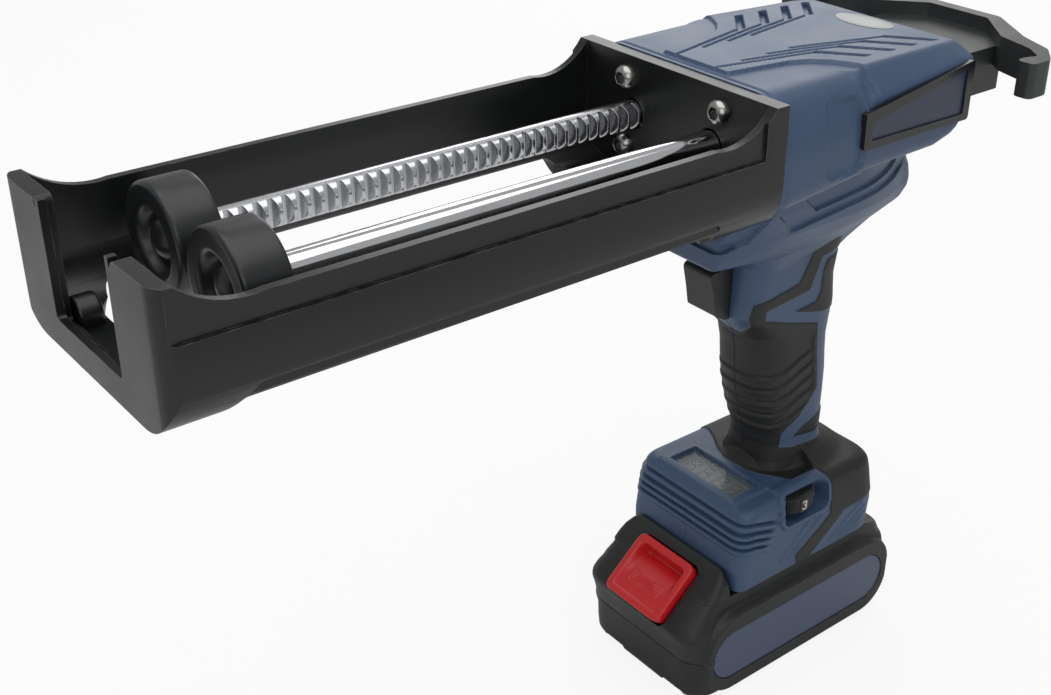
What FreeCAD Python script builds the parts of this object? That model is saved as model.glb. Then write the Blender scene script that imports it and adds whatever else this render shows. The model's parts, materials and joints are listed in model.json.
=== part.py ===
"""Cordless twin-cartridge caulking tool, standing on its battery.

Frame: millimetres, +X the way the rods push, +Y the tool's left, +Z up.
The origin is the middle of the battery's flat underside.
"""
import FreeCAD, Part
import math
import os
import re
from types import SimpleNamespace

import Sketcher

V = FreeCAD.Vector
X_AXIS, Y_AXIS, Z_AXIS = V(1, 0, 0), V(0, 1, 0), V(0, 0, 1)
SIDES = {"left": 1, "right": -1}
FAR = 400

# Driving dimensions: plain numbers that can be set one by one.
DRIVING = {
    # push rods, rack and plungers
    "rod_height": 254, "rod_spacing": 41.6, "rod_diameter": 11, "rod_clearance": 0.06,
    "rack_module": 1.6, "rack_flat": 0.4, "rack_margin": 1, "stroke": 165,
    "plunger_diameter": 38, "plunger_length": 16, "plunger_gap": 25.5,
    "plunger_dimple": 27, "plunger_dimple_depth": 6.5, "rod_grip": 7,
    # cartridge cradle
    "cradle_back": 58, "cradle_length": 224, "cradle_width": 104, "cradle_drop": 27,
    "cradle_wall": 4, "cradle_floor": 5, "cradle_back_wall": 6, "cradle_front_wall": 5.5,
    "cradle_corner": 18, "cradle_edge": 7, "lip_height": 47.6, "rim_height": 39, "back_height": 49,
    "notch_width": 46, "notch_height": 10, "notch_step": 3, "notch_corner": 1.5, "lip_corner": 2.5,
    "crease_height": 31, "crease_depth": 1.2, "ledge_height": 12.5, "ledge_depth": 2.4, "open_height": 8,
    "window_width": 84, "window_margin": 20, "window_corner": 18, "rim_sweep": 26,
    "screw_across": 49.7, "screw_up": 26.7, "screw_head": 9.5, "screw_head_high": 4,
    "screw_shank": 5, "screw_length": 22, "hole_clearance": 0.5,
    "seat_gap": 0.03, "screw_gap": 0.1, "thread_gap": 0.02, "shaft_gap": 0.05,
    # housing shell
    "shell": 2.8, "body_rear": -62, "body_half": 52.5, "body_half_rear": 46, "body_rise": 23.5,
    "body_drop": 25, "body_drop_rear": 16, "hood_length": 38, "body_step": 3,
    "belly_rear": -64, "belly_front": 50, "belly_half": 31, "belly_drop": 68, "trigger_wall": 27,
    "grip_half": 16.5, "grip_depth": 45.6, "grip_top_x": -8.3, "grip_foot_x": -14.9,
    "foot_high": 37.4, "foot_front": 34, "foot_rear": -52, "foot_half": 34, "foot_gap": 0.6,
    "rubber": 1.6, "rubber_drop": 26, "collar_high": 18, "collar_front": -6,
    "vent_length": 15, "vent_width": 4, "vent_pitch": 13, "vent_depth": 2, "vent_inner": 19,
    "vent_slant": 14,
    "boss_radius": 4.2,
    "badge_front": 11, "badge_rear": -56, "badge_rise": 5, "badge_high": 22, "badge_proud": 2.4,
    "badge_border": 4.2, "badge_lift": 4,
    # gear case and drive
    "case_length": 36, "case_half": 31, "case_drop": 19, "case_rise": 16, "cover_plate": 2.2,
    "cover_web": 1.5, "pinion_teeth": 14, "pinion_width": 11, "cavity_gap": 2, "shaft_diameter": 8,
    "bearing_outer": 19, "bearing_width": 6, "bush_outer": 15, "bush_length": 7,
    "bevel_module": 1.25, "bevel_teeth": 24, "bevel_pinion_teeth": 12, "bevel_face": 5,
    "motor_drop": 40, "sun_module": 0.6, "sun_teeth": 12, "planet_teeth": 18,
    "planet_width": 6, "ring_outer": 34, "ring_length": 17, "motor_diameter": 30, "motor_length": 35,
    "motor_wall": 1.6, "motor_shaft": 3.2, "end_cap": 3,
    # trigger and release button
    "trigger_width": 16, "trigger_high": 23, "trigger_drop": 17, "trigger_proud": 13,
    "trigger_travel": 6, "trigger_inside": 6, "switch_length": 34, "switch_half": 9, "slide_gap": 0.35,
    "button_width": 24, "button_high": 9, "button_proud": 4.5, "button_drop": 2, "button_travel": 3,
    "button_stem": 3.5, "spring_wire": 0.7, "spring_radius": 2.6, "spring_room": 1.2, "spring_gap": 0.05,
    "spring_pocket": 10,
    # foot electronics
    "lens_long": 38, "lens_wide": 14, "lens_thick": 1.6, "lens_inset": 5, "board_thick": 1.6,
    "board_drop": 18, "dial_diameter": 28, "dial_thick": 7, "dial_x": 2, "dial_proud": 2.2,
    "dial_drop": 5.5, "block_half": 20, "block_long": 36, "block_high": 8,
    "blade_long": 26, "blade_pitch": 11, "blade_reach": 7,
    # battery
    "pack_length": 124, "pack_high": 50, "pack_wall": 2.2, "pack_base": 112, "cell_side": 2.3,
    "pack_split": 22, "pack_inset": 3, "flank_low": 4, "flank_high": 40, "nose_rise": 10, "nose_gap": 2,
    "nose_flat": 9, "cell_diameter": 18.4, "cell_length": 65, "cell_gap": 1,
    "latch_width": 34, "latch_length": 27, "latch_thick": 9, "latch_travel": 3.5, "rail_half": 24,
    "rail_high": 4, "rail_wide": 5, "label_depth": 0.7, "label_margin": 6,
    # pull yoke
    "yoke_gap": 2, "yoke_length": 46, "yoke_tongue": 30, "yoke_wall": 6, "yoke_rise": 17,
    "yoke_wall_high": 14, "yoke_half": 66, "yoke_rear_half": 17,
}

# Sizes that follow from the driving ones.
DERIVED = {
    "cradle_low": "rod_height - cradle_drop",
    "cradle_front": "cradle_back + cradle_length",
    "cradle_rear": "cradle_back - cradle_back_wall",
    "plunger_face": "cradle_front - cradle_front_wall - plunger_gap",
    "plunger_rear": "plunger_face - plunger_length",
    "rod_front": "plunger_rear + rod_grip",
    "rack_front": "plunger_rear - rack_margin",
    "body_top": "rod_height + body_rise",
    "body_low": "rod_height - body_drop",
    "body_low_rear": "rod_height - body_drop_rear",
    "belly_low": "rod_height - belly_drop",
    "trigger_low": "belly_low - trigger_drop",
    "rubber_top": "belly_low - rubber_drop",
    "badge_height": "rod_height + badge_lift",
    "yoke_top": "rod_height + yoke_rise",
    "case_low": "rod_height - case_drop",
    "case_high": "rod_height + case_rise",
    "motor_height": "rod_height - motor_drop",
    "button_height": "motor_height - button_drop",
    "case_front": "cradle_rear - shell",
    "case_rear": "case_front - case_length",
    "pinion_x": "case_front - case_length / 2",
    "pinion_radius": "rack_module * pinion_teeth / 2",
    "rack_addendum": "0.8 * rack_module",
    "rack_pitch_y": "-rod_spacing / 2 + rod_diameter / 2 - rack_flat - rack_addendum",
    "pinion_y": "rack_pitch_y + pinion_radius",
    "bevel_radius": "bevel_module * bevel_teeth / 2",
    "bevel_pinion_radius": "bevel_module * bevel_pinion_teeth / 2",
    "ring_front": "case_rear - 3",
    "ring_rear": "ring_front - ring_length",
    "motor_rear": "ring_rear - motor_length",
    "yoke_front": "body_rear - yoke_gap",
    "yoke_rear": "yoke_front - yoke_length",
    "rod_rear": "yoke_rear + 12",
    "pack_width": "cell_length + 2 * cell_side + 2 * pack_wall",
    "foot_low": "pack_high + foot_gap",
    "foot_top": "foot_low + foot_high",
    "collar_low": "foot_top - collar_high",
    "board_height": "foot_top - board_drop",
    "dial_height": "foot_top - dial_drop",
    "lens_front": "foot_front - lens_inset",
    "nose_top": "pack_high + nose_rise",
    "nose_rear": "foot_front + nose_gap",
    "cell_low": "flank_low + pack_wall + 0.2",
    "cell_pitch": "cell_diameter + cell_gap",
    "trigger_front": "trigger_wall + trigger_proud",
    "trigger_rear": "trigger_wall - trigger_inside",
    "switch_front": "trigger_rear - trigger_travel - 1",
}

doc = FreeCAD.newDocument("TwinCartridgeTool")
NODES = {}


def make_sheet():
    """Spreadsheet of all sizes; returns their values by name."""
    sheet = doc.addObject("Spreadsheet::Sheet", "Dims")
    for row, (name, value) in enumerate(DRIVING.items(), start=1):
        sheet.set(f"A{row}", name)
        sheet.set(f"B{row}", str(value))
        sheet.setAlias(f"B{row}", name)
    for row, (name, formula) in enumerate(DERIVED.items(), start=1):
        sheet.set(f"C{row}", name)
        sheet.set(f"D{row}", f"={formula}")
        sheet.setAlias(f"D{row}", name)
    doc.recompute()
    names = list(DRIVING) + list(DERIVED)
    return SimpleNamespace(**{name: float(sheet.get(name)) for name in names})


d = make_sheet()
ALIAS = re.compile(r"[a-z_]+[a-z0-9_]*")


def linked(expression):
    """The expression with each size's name pointing at its cell."""
    known = set(DRIVING) | set(DERIVED)
    return ALIAS.sub(lambda m: f"Dims.{m.group()}" if m.group() in known else m.group(), str(expression))


def bind(target, **expressions):
    """Tie properties of an object to expressions of the sheet's cells."""
    for name, expression in expressions.items():
        target.setExpression(name, linked(expression))


def place(target, corner):
    """Tie an object's position to three expressions."""
    for axis, expression in zip("xyz", corner):
        target.setExpression(f".Placement.Base.{axis}", linked(expression))


def node(label, target):
    """Register an object as a sub-part under its label."""
    target.Label = label
    NODES[label] = target
    return target


def box(label, size, corner):
    """Part::Box bound to size and corner expressions."""
    made = doc.addObject("Part::Box", label)
    bind(made, Length=size[0], Width=size[1], Height=size[2])
    place(made, corner)
    return made


def cylinder(label, radius, height, foot, axis=Z_AXIS):
    """Part::Cylinder bound to radius, height and foot, its axis turned from +Z."""
    made = doc.addObject("Part::Cylinder", label)
    made.Placement.Rotation = FreeCAD.Rotation(Z_AXIS, axis)
    bind(made, Radius=radius, Height=height)
    place(made, foot)
    return made


def cut(label, base, *tools):
    """Part::Cut of a base and one or more tools."""
    made = doc.addObject("Part::Cut", label)
    made.Base = base
    made.Tool = tools[0] if len(tools) == 1 else fuse(label + "_tools", *tools)
    return made


def fuse(label, *pieces):
    """Part::MultiFuse of several pieces."""
    made = doc.addObject("Part::MultiFuse", label)
    made.Shapes = list(pieces)
    return made


def feature(label, shape):
    """Part::Feature for a shape worked out below."""
    made = doc.addObject("Part::Feature", label)
    made.Shape = shape
    made.Placement = shape.Placement
    return node(label, made)


def new_body(label):
    """Empty PartDesign body, registered as a sub-part."""
    return node(label, doc.addObject("PartDesign::Body", label))


def sketch(body, role, label, points):
    """Closed polygon sketch on an origin plane, each corner tied to two expressions."""
    made = body.newObject("Sketcher::SketchObject", label)
    plane = next(f for f in body.Origin.OriginFeatures if f.Role == role)
    made.AttachmentSupport = [(plane, "")]
    made.MapMode = "FlatFace"
    count = len(points)
    for i in range(count):
        made.addGeometry(Part.LineSegment(V(i, i * i, 0), V(i + 1, (i + 1) ** 2, 0)), False)
    for i in range(count):
        made.addConstraint(Sketcher.Constraint("Coincident", i, 2, (i + 1) % count, 1))
    for i, corner in enumerate(points):
        for kind, expression in zip(("DistanceX", "DistanceY"), corner):
            index = made.addConstraint(Sketcher.Constraint(kind, -1, 1, i, 1, float(i)))
            made.setExpression(f"Constraints[{index}]", linked(expression))
    return made


def pad(body, profile, label, length, midplane=False):
    """Pad of a sketch to a bound length."""
    made = body.newObject("PartDesign::Pad", label)
    made.Profile = profile
    made.Midplane = midplane
    bind(made, Length=length)
    return made


def revolve(body, profile, label, axis):
    """Full revolution of a sketch about one of its own axes (H_Axis or V_Axis)."""
    made = body.newObject("PartDesign::Revolution", label)
    made.Profile = profile
    made.ReferenceAxis = (profile, [axis])
    made.Angle = 360
    return made


def turned(label, profile, centre, axis_x=True):
    """Body revolved about X (or Z) from (along, radius) corners, moved to a centre."""
    body = new_body(label)
    role, axis = ("XZ_Plane", "H_Axis") if axis_x else ("XZ_Plane", "V_Axis")
    corners = profile if axis_x else [(radius, along) for along, radius in profile]
    revolve(body, sketch(body, role, label + "_profile", corners), label + "_turned", axis)
    place(body, centre)
    return body


def outline(points, radii, to_space):
    """Wire round a polygon whose corners are rounded by arcs.

    Each corner gives way to an arc that is tangent to both of its sides.
    """
    count = len(points)
    starts, mids, ends = [], [], []
    for i, point in enumerate(points):
        corner = V(point[0], point[1], 0)
        back = V(*points[i - 1], 0) - corner
        ahead = V(*points[(i + 1) % count], 0) - corner
        back.normalize()
        ahead.normalize()
        half = math.acos(max(-1.0, min(1.0, back.dot(ahead)))) / 2
        radius = radii[i] if isinstance(radii, (list, tuple)) else radii
        reach = radius / math.tan(half)
        inward = back + ahead
        inward.normalize()
        starts.append(corner + back * reach)
        mids.append(corner + inward * (radius / math.sin(half) - radius))
        ends.append(corner + ahead * reach)
    edges = []
    for i in range(count):
        first, last = ends[i - 1], starts[i]
        edges.append(Part.makeLine(to_space(first.x, first.y), to_space(last.x, last.y)))
        if (ends[i] - starts[i]).Length > 1e-6:
            arc = [to_space(p.x, p.y) for p in (starts[i], mids[i], ends[i])]
            edges.append(Part.Arc(*arc).toShape())
    return Part.Wire(edges)


def prism(points, radii, to_space, travel):
    """Rounded polygon carried along a vector."""
    return Part.Face(outline(points, radii, to_space)).extrude(travel)


def at_x(x):
    """Map (y, z) onto the plane at x."""
    return lambda u, v: V(x, u, v)


def at_y(y):
    """Map (x, z) onto the plane at y."""
    return lambda u, v: V(u, y, v)


def at_z(z):
    """Map (x, y) onto the plane at z."""
    return lambda u, v: V(u, v, z)


def block(low, high):
    """Plain box between two corners."""
    size = [b - a for a, b in zip(low, high)]
    return Part.makeBox(*size, V(*low))


def rod(radius, start, length, axis):
    """Plain round bar."""
    return Part.makeCylinder(radius, length, V(*start), axis)


def plan(z, rear, front, half, rear_radius, front_radius):
    """Rounded rectangle at height z, even about the middle plane."""
    corners = [(rear, -half), (front, -half), (front, half), (rear, half)]
    return outline(corners, [rear_radius, front_radius, front_radius, rear_radius], at_z(z))


def ruled(wires):
    """Solid ruled between closed wires."""
    return Part.makeLoft(wires, True, True)


def biarc(first, first_way, last, last_way):
    """Two tangent arcs from one point and direction to another."""
    chord = last - first
    a = 2 * (first_way.dot(last_way) - 1)
    b = -2 * chord.dot(first_way + last_way)
    c = chord.dot(chord)
    arm = (-b - math.sqrt(b * b - 4 * a * c)) / (2 * a)
    knee_a, knee_b = first + first_way * arm, last - last_way * arm
    joint = (knee_a + knee_b) * 0.5
    arcs = []
    for start, knee, end in ((first, knee_a, joint), (joint, knee_b, last)):
        middle = (start + end) * 0.5
        slope = math.atan2((knee - middle).Length, (start - middle).Length)
        rise = math.tan(slope / 2) / math.tan(slope)
        arcs.append(Part.Arc(start, middle + (knee - middle) * rise, end).toShape())
    return arcs


def coil(label, foot, axis, room, turns):
    """Compression spring between two seats: one round wire wound at a steady rate along an axis."""
    wire, radius = d.spring_wire, d.spring_radius
    pitch = (room - 2 * d.spring_gap - wire) / turns
    turn = FreeCAD.Rotation(Z_AXIS, axis)
    quarters = 4 * turns

    def point(step):
        angle = step * math.pi / 2
        return V(radius * math.cos(angle), radius * math.sin(angle), wire / 2 + pitch * step / 4)

    def way(step):
        angle = step * math.pi / 2
        along = V(-radius * math.sin(angle), radius * math.cos(angle), pitch / (2 * math.pi))
        return along.normalize()

    edges = []
    for step in range(quarters):
        edges += biarc(point(step), way(step), point(step + 1), way(step + 1))
    section = Part.Wire([Part.makeCircle(wire / 2, point(0), way(0))])
    tube = Part.Wire(edges).makePipeShell([section], True, False)
    print(label, "gap between turns", round(pitch - wire, 2))
    tube.Placement = FreeCAD.Placement(foot + axis * d.spring_gap, turn)
    return feature(label, tube.copy())


def gear_points(teeth, module, phase, share=0.21, addendum=0.8, dedendum=1.15):
    """Corners of a straight-flanked gear outline, four to a tooth.

    share is the tooth's half thickness on the pitch circle as a part of the pitch.
    """
    pitch = teeth * module / 2
    half = share * math.pi * module
    slope = math.tan(math.radians(20))
    tip, root = pitch + addendum * module, pitch - dedendum * module
    tip_half = (half - addendum * module * slope) / tip
    root_half = (half + dedendum * module * slope) / root
    points = []
    for i in range(teeth):
        middle = phase + 2 * math.pi * i / teeth
        for radius, turn in ((root, -root_half), (tip, -tip_half), (tip, tip_half), (root, root_half)):
            points.append((radius * math.cos(middle + turn), radius * math.sin(middle + turn)))
    return points


def extruded_gear(points, to_space, travel):
    """Prism of a gear outline."""
    corners = [to_space(u, v) for u, v in points]
    return Part.Face(Part.makePolygon(corners + corners[:1])).extrude(travel)


def bevel(teeth, mate_teeth, phase):
    """Straight bevel gear with its apex at the origin, its axis +Z and its teeth towards -Z.

    Every tooth is a frustum whose edges run to the apex; the body is turned under the root cone.
    """
    module = d.bevel_module
    cone = math.atan2(teeth, mate_teeth)
    reach = teeth * module / 2 / math.sin(cone)
    inner = (reach - d.bevel_face) / reach
    along = V(math.sin(cone), 0, math.cos(cone))
    normal = V(math.cos(cone), 0, -math.sin(cone))
    half = 0.20 * math.pi * module
    slope = math.tan(math.radians(20))
    root = along * reach - normal * (1.2 * module)
    sunk = along * reach - normal * (1.6 * module)
    tip = along * reach + normal * (0.75 * module)
    wide = half + 1.2 * module * slope
    narrow = half - 0.75 * module * slope
    back = root.z + 1.2 * module
    inner_root = root * inner
    body_corners = [(0, inner_root.z), (inner_root.x, inner_root.z), (root.x, root.z), (root.x, back),
                    (0, back)]
    ring = Part.makePolygon([V(r, 0, z) for r, z in body_corners + body_corners[:1]])
    shape = Part.Face(ring).revolve(V(0, 0, 0), Z_AXIS, 360)
    quad = [sunk + V(0, -wide, 0), tip + V(0, -narrow, 0), tip + V(0, narrow, 0), sunk + V(0, wide, 0)]
    tooth = ruled([Part.makePolygon([p * s for p in quad + quad[:1]]) for s in (1.0, inner)])
    copies = []
    for i in range(teeth):
        copy = tooth.copy()
        copy.rotate(V(0, 0, 0), Z_AXIS, math.degrees(phase) + 360 * i / teeth)
        copies.append(copy)
    return shape.fuse(copies).removeSplitter(), back


def rod_y(side):
    """Middle of a push rod across the tool."""
    return side * d.rod_spacing / 2


def each_cradle_screw():
    """Places (y, z) of the four screws in the cradle's back wall."""
    for y in (-d.screw_across / 2, d.screw_across / 2):
        for z in (-d.screw_up / 2, d.screw_up / 2):
            yield y, d.rod_height + z


def cradle():
    """Open tray: rounded trough, lips with a stepped notch, swept rims, open floor and a bored back wall."""
    low, half, wall = d.cradle_low, d.cradle_width / 2, d.cradle_wall
    top = low + max(d.back_height, d.lip_height)
    corners = [(-half, top), (-half, low), (half, low), (half, top)]
    rounding = [0, d.cradle_corner, d.cradle_corner, 0]
    span = V(d.cradle_front - d.cradle_rear, 0, 0)
    tray = prism(corners, rounding, at_x(d.cradle_rear), span)
    edge = d.cradle_edge
    plan_line = plan(low - 1, d.cradle_rear, d.cradle_front, half, 0, edge)
    tray = tray.common(Part.Face(plan_line).extrude(V(0, 0, top - low + 2)))
    inner, floor = half - wall, low + d.cradle_floor
    corners = [(-inner, top + 1), (-inner, floor), (inner, floor), (inner, top + 1)]
    rounding = [0, d.cradle_corner - wall, d.cradle_corner - wall, 0]
    bay = V(d.cradle_length - d.cradle_front_wall, 0, 0)
    tray = tray.cut(prism(corners, rounding, at_x(d.cradle_back), bay))
    return tray.cut(cradle_cuts(half, top))


def cradle_cuts(half, top):
    """Everything cut from the tray: rims, notch, floor window, side bands and holes."""
    low, rear, front = d.cradle_low, d.cradle_rear, d.cradle_front
    rim, lip, back = low + d.rim_height, low + d.lip_height, low + d.back_height
    sweep = d.rim_sweep
    inset = front - d.cradle_front_wall
    above = top + 5
    rim_line = [
        Part.makeLine(V(rear - 1, -half - 1, back), V(d.cradle_back, -half - 1, back)),
        Part.Arc(V(d.cradle_back, -half - 1, back),
                 V(d.cradle_back + 0.36 * sweep, -half - 1, rim + 0.2 * (back - rim)),
                 V(d.cradle_back + sweep, -half - 1, rim)).toShape(),
        Part.makeLine(V(d.cradle_back + sweep, -half - 1, rim), V(inset - sweep, -half - 1, rim)),
        Part.Arc(V(inset - sweep, -half - 1, rim),
                 V(inset - 0.4 * sweep, -half - 1, rim + 0.22 * (lip - rim)),
                 V(inset, -half - 1, lip)).toShape(),
        Part.makeLine(V(inset, -half - 1, lip), V(front + 1, -half - 1, lip)),
        Part.makeLine(V(front + 1, -half - 1, lip), V(front + 1, -half - 1, above)),
        Part.makeLine(V(front + 1, -half - 1, above), V(rear - 1, -half - 1, above)),
        Part.makeLine(V(rear - 1, -half - 1, above), V(rear - 1, -half - 1, back)),
    ]
    cuts = [Part.Face(Part.Wire(rim_line)).extrude(V(0, 2 * half + 2, 0))]
    middle = inset + d.cradle_front_wall / 2
    notch, foot, step = d.notch_width / 2, low + d.notch_height, d.notch_step
    spans = ((notch, foot, middle, front + 1), (notch + step, foot - step, inset - 1, middle))
    for wide, floor, start, end in spans:
        corners = [(-wide, above), (-wide, floor), (wide, floor), (wide, above)]
        rounding = [0, d.notch_corner, d.notch_corner, 0]
        cuts.append(prism(corners, rounding, at_x(start), V(end - start, 0, 0)))
    for y, towards in ((-half, 1), (-notch - step, -1), (notch + step, 1), (half, -1)):
        cuts.append(corner_cut(inset - 1, d.cradle_front_wall + 2, y, lip, towards))
    margin = d.window_margin
    hole = plan(low - 1, d.cradle_back + margin, inset - margin / 2, d.window_width / 2, 6, d.window_corner)
    cuts.append(Part.Face(hole).extrude(V(0, 0, d.cradle_floor + 2)))
    opening = [(d.cradle_back + sweep - 4, low - 1), (d.cradle_back + sweep - 4, low + d.open_height),
               (inset - margin / 2 - 8, low + d.open_height), (inset - margin / 2, low - 1)]
    cuts.append(prism(opening, [0, 3.5, 2, 0], at_y(-half - 1), V(0, 2 * half + 2, 0)))
    for side in (-1, 1):
        edge = side * half
        near = edge - side * d.crease_depth
        band_low, band_high = sorted((near, edge + side))
        cuts.append(block((d.cradle_back + 4, band_low, low + d.crease_height),
                          (front + 1, band_high, above)))
        near = edge - side * d.ledge_depth
        band_low, band_high = sorted((near, edge + side))
        ledge = [(d.cradle_back + sweep - 4, low - 1), (d.cradle_back + sweep - 4, low + d.ledge_height),
                 (inset - margin / 2 - 12, low + d.ledge_height), (inset - margin / 2, low - 1)]
        cuts.append(prism(ledge, [0, 3.5, 2, 0], at_y(band_low), V(0, band_high - band_low, 0)))
        cuts.append(rod(d.rod_diameter / 2 + d.hole_clearance, (rear - 1, rod_y(side), d.rod_height),
                        d.cradle_back_wall + 2, X_AXIS))
    for y, z in each_cradle_screw():
        cuts.append(rod(d.screw_shank / 2 + d.screw_gap, (rear - 1, y, z), d.cradle_back_wall + 2, X_AXIS))
    return cuts


def corner_cut(x, length, y, z, towards):
    """Waste outside a rounded upper corner of a lip, for cutting."""
    radius = d.lip_corner
    low, high = sorted((y - towards, y + towards * radius))
    waste = block((x, low, z - radius), (x + length, high, z + 1))
    return waste.cut(rod(radius, (x, y + towards * radius, z - radius), length, X_AXIS))


def button_screw(y, z):
    """Button-head hex-socket screw pointing backwards from the cradle's back wall."""
    head = d.screw_head / 2
    seat = d.cradle_back
    profile = [V(seat, 0, 0), V(seat, head, 0)]
    crown = Part.Arc(V(seat + 0.3, head, 0), V(seat + 0.62 * d.screw_head_high, 0.8 * head, 0),
                     V(seat + d.screw_head_high, 0.45 * head, 0)).toShape()
    edges = [Part.makeLine(*profile), Part.makeLine(profile[1], V(seat + 0.3, head, 0)), crown,
             Part.makeLine(V(seat + d.screw_head_high, 0.45 * head, 0), V(seat + d.screw_head_high, 0, 0)),
             Part.makeLine(V(seat + d.screw_head_high, 0, 0), profile[0])]
    shape = Part.Face(Part.Wire(edges)).revolve(V(0, 0, 0), X_AXIS, 360)
    shape = shape.fuse(rod(d.screw_shank / 2, (seat - d.screw_length, 0, 0), d.screw_length, X_AXIS))
    across = 0.3 * d.screw_head
    hexagon = [(across * math.cos(i * math.pi / 3), across * math.sin(i * math.pi / 3)) for i in range(6)]
    depth = 0.6 * d.screw_head_high
    shape = shape.cut(extruded_gear(hexagon, at_x(seat + d.screw_head_high - depth), V(depth + 1, 0, 0)))
    shape.translate(V(0, y, z))
    return shape


def make_cradle():
    """Cradle and the screws through its back wall."""
    feature("cartridge_cradle", cradle())
    feature("cradle_screws", Part.makeCompound([button_screw(y, z) for y, z in each_cradle_screw()]))


def rack_rod():
    """Round bar with a toothed flat on its inner side, one tooth space facing the pinion at rest."""
    y, z, radius = rod_y(-1), d.rod_height, d.rod_diameter / 2
    bar = rod(radius, (d.rod_rear, y, z), d.rod_front - d.rod_rear, X_AXIS)
    pitch = math.pi * d.rack_module
    tip = y + radius - d.rack_flat
    first = d.case_rear
    tall = radius + 1
    cuts = [block((first, tip, z - tall), (d.rack_front, y + tall, z + tall))]
    half = (0.5 - 0.21) * pitch
    slope = math.tan(math.radians(20))
    root = d.rack_pitch_y - 1.15 * d.rack_module
    root_half = half - 1.15 * d.rack_module * slope
    tip_half = half + (tip + 0.5 - d.rack_pitch_y) * slope
    low = math.ceil((first + pitch - d.pinion_x) / pitch)
    high = math.floor((d.rack_front - pitch / 2 - d.pinion_x) / pitch)
    for i in range(low, high + 1):
        x = d.pinion_x + i * pitch
        corners = [(x - root_half, root), (x + root_half, root), (x + tip_half, tip + 0.5),
                   (x - tip_half, tip + 0.5)]
        cuts.append(extruded_gear(corners, at_z(z - tall), V(0, 0, 2 * tall)))
    return bar.cut(cuts)


def make_plunger(label, side):
    """Plunger turned about its rod: flat face, dimple, rounded rim, bored seat for the rod."""
    rim = "plunger_diameter / 2"
    profile = [
        ("-plunger_length", "rod_diameter / 2 + seat_gap"), ("-plunger_length", f"{rim} - 3"),
        ("-plunger_length + 3", rim), ("-2", rim), ("0", f"{rim} - 2"), ("0", "plunger_dimple / 2"),
        ("-plunger_dimple_depth", "plunger_dimple / 2 - 2"),
        ("-plunger_dimple_depth", "screw_shank / 2 + screw_gap"),
        ("rod_grip - plunger_length", "screw_shank / 2 + screw_gap"),
        ("rod_grip - plunger_length", "rod_diameter / 2 + seat_gap"),
    ]
    turned(label, profile, ("plunger_face", f"{side} * rod_spacing / 2", "rod_height"))


def dome_screw(x, y, z, length, head, high):
    """Dome-head screw pointing backwards from its seat at x."""
    ball = (head * head + high * high) / (2 * high)
    dome = Part.makeSphere(ball, V(x + high - ball, y, z), X_AXIS)
    shape = dome.common(rod(head, (x, y, z), high + 1, X_AXIS))
    return shape.fuse(rod(d.screw_shank / 2, (x - length, y, z), length, X_AXIS))


def make_rods():
    """Both push rods with their bored ends, plungers and plunger screws."""
    end_bores = []
    for side in (-1, 1):
        y = rod_y(side)
        end_bores.append(rod(d.screw_shank / 2 + d.thread_gap, (d.rod_front - 10, y, d.rod_height), 11,
                             X_AXIS))
        end_bores.append(rod(d.screw_shank / 2 + d.thread_gap, (d.rod_rear - 1, y, d.rod_height), 11,
                             X_AXIS))
    feature("rack_rod", rack_rod().cut(end_bores))
    bar = cylinder("plain_bar", "rod_diameter / 2", "rod_front - rod_rear",
                   ("rod_rear", "rod_spacing / 2", "rod_height"), X_AXIS)
    front = cylinder("plain_front_bore", "screw_shank / 2 + thread_gap", "11",
                     ("rod_front - 10", "rod_spacing / 2", "rod_height"), X_AXIS)
    rear = cylinder("plain_rear_bore", "screw_shank / 2 + thread_gap", "11",
                    ("rod_rear - 1", "rod_spacing / 2", "rod_height"), X_AXIS)
    node("plain_rod", cut("plain_rod", bar, front, rear))
    make_plunger("rack_plunger", -1)
    make_plunger("plain_plunger", 1)
    seat = d.plunger_face - d.plunger_dimple_depth
    length = seat - d.rod_front + 8
    screws = [dome_screw(seat, rod_y(s), d.rod_height, length, 8.5, 6) for s in (-1, 1)]
    feature("plunger_screws", Part.makeCompound(screws))


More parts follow.
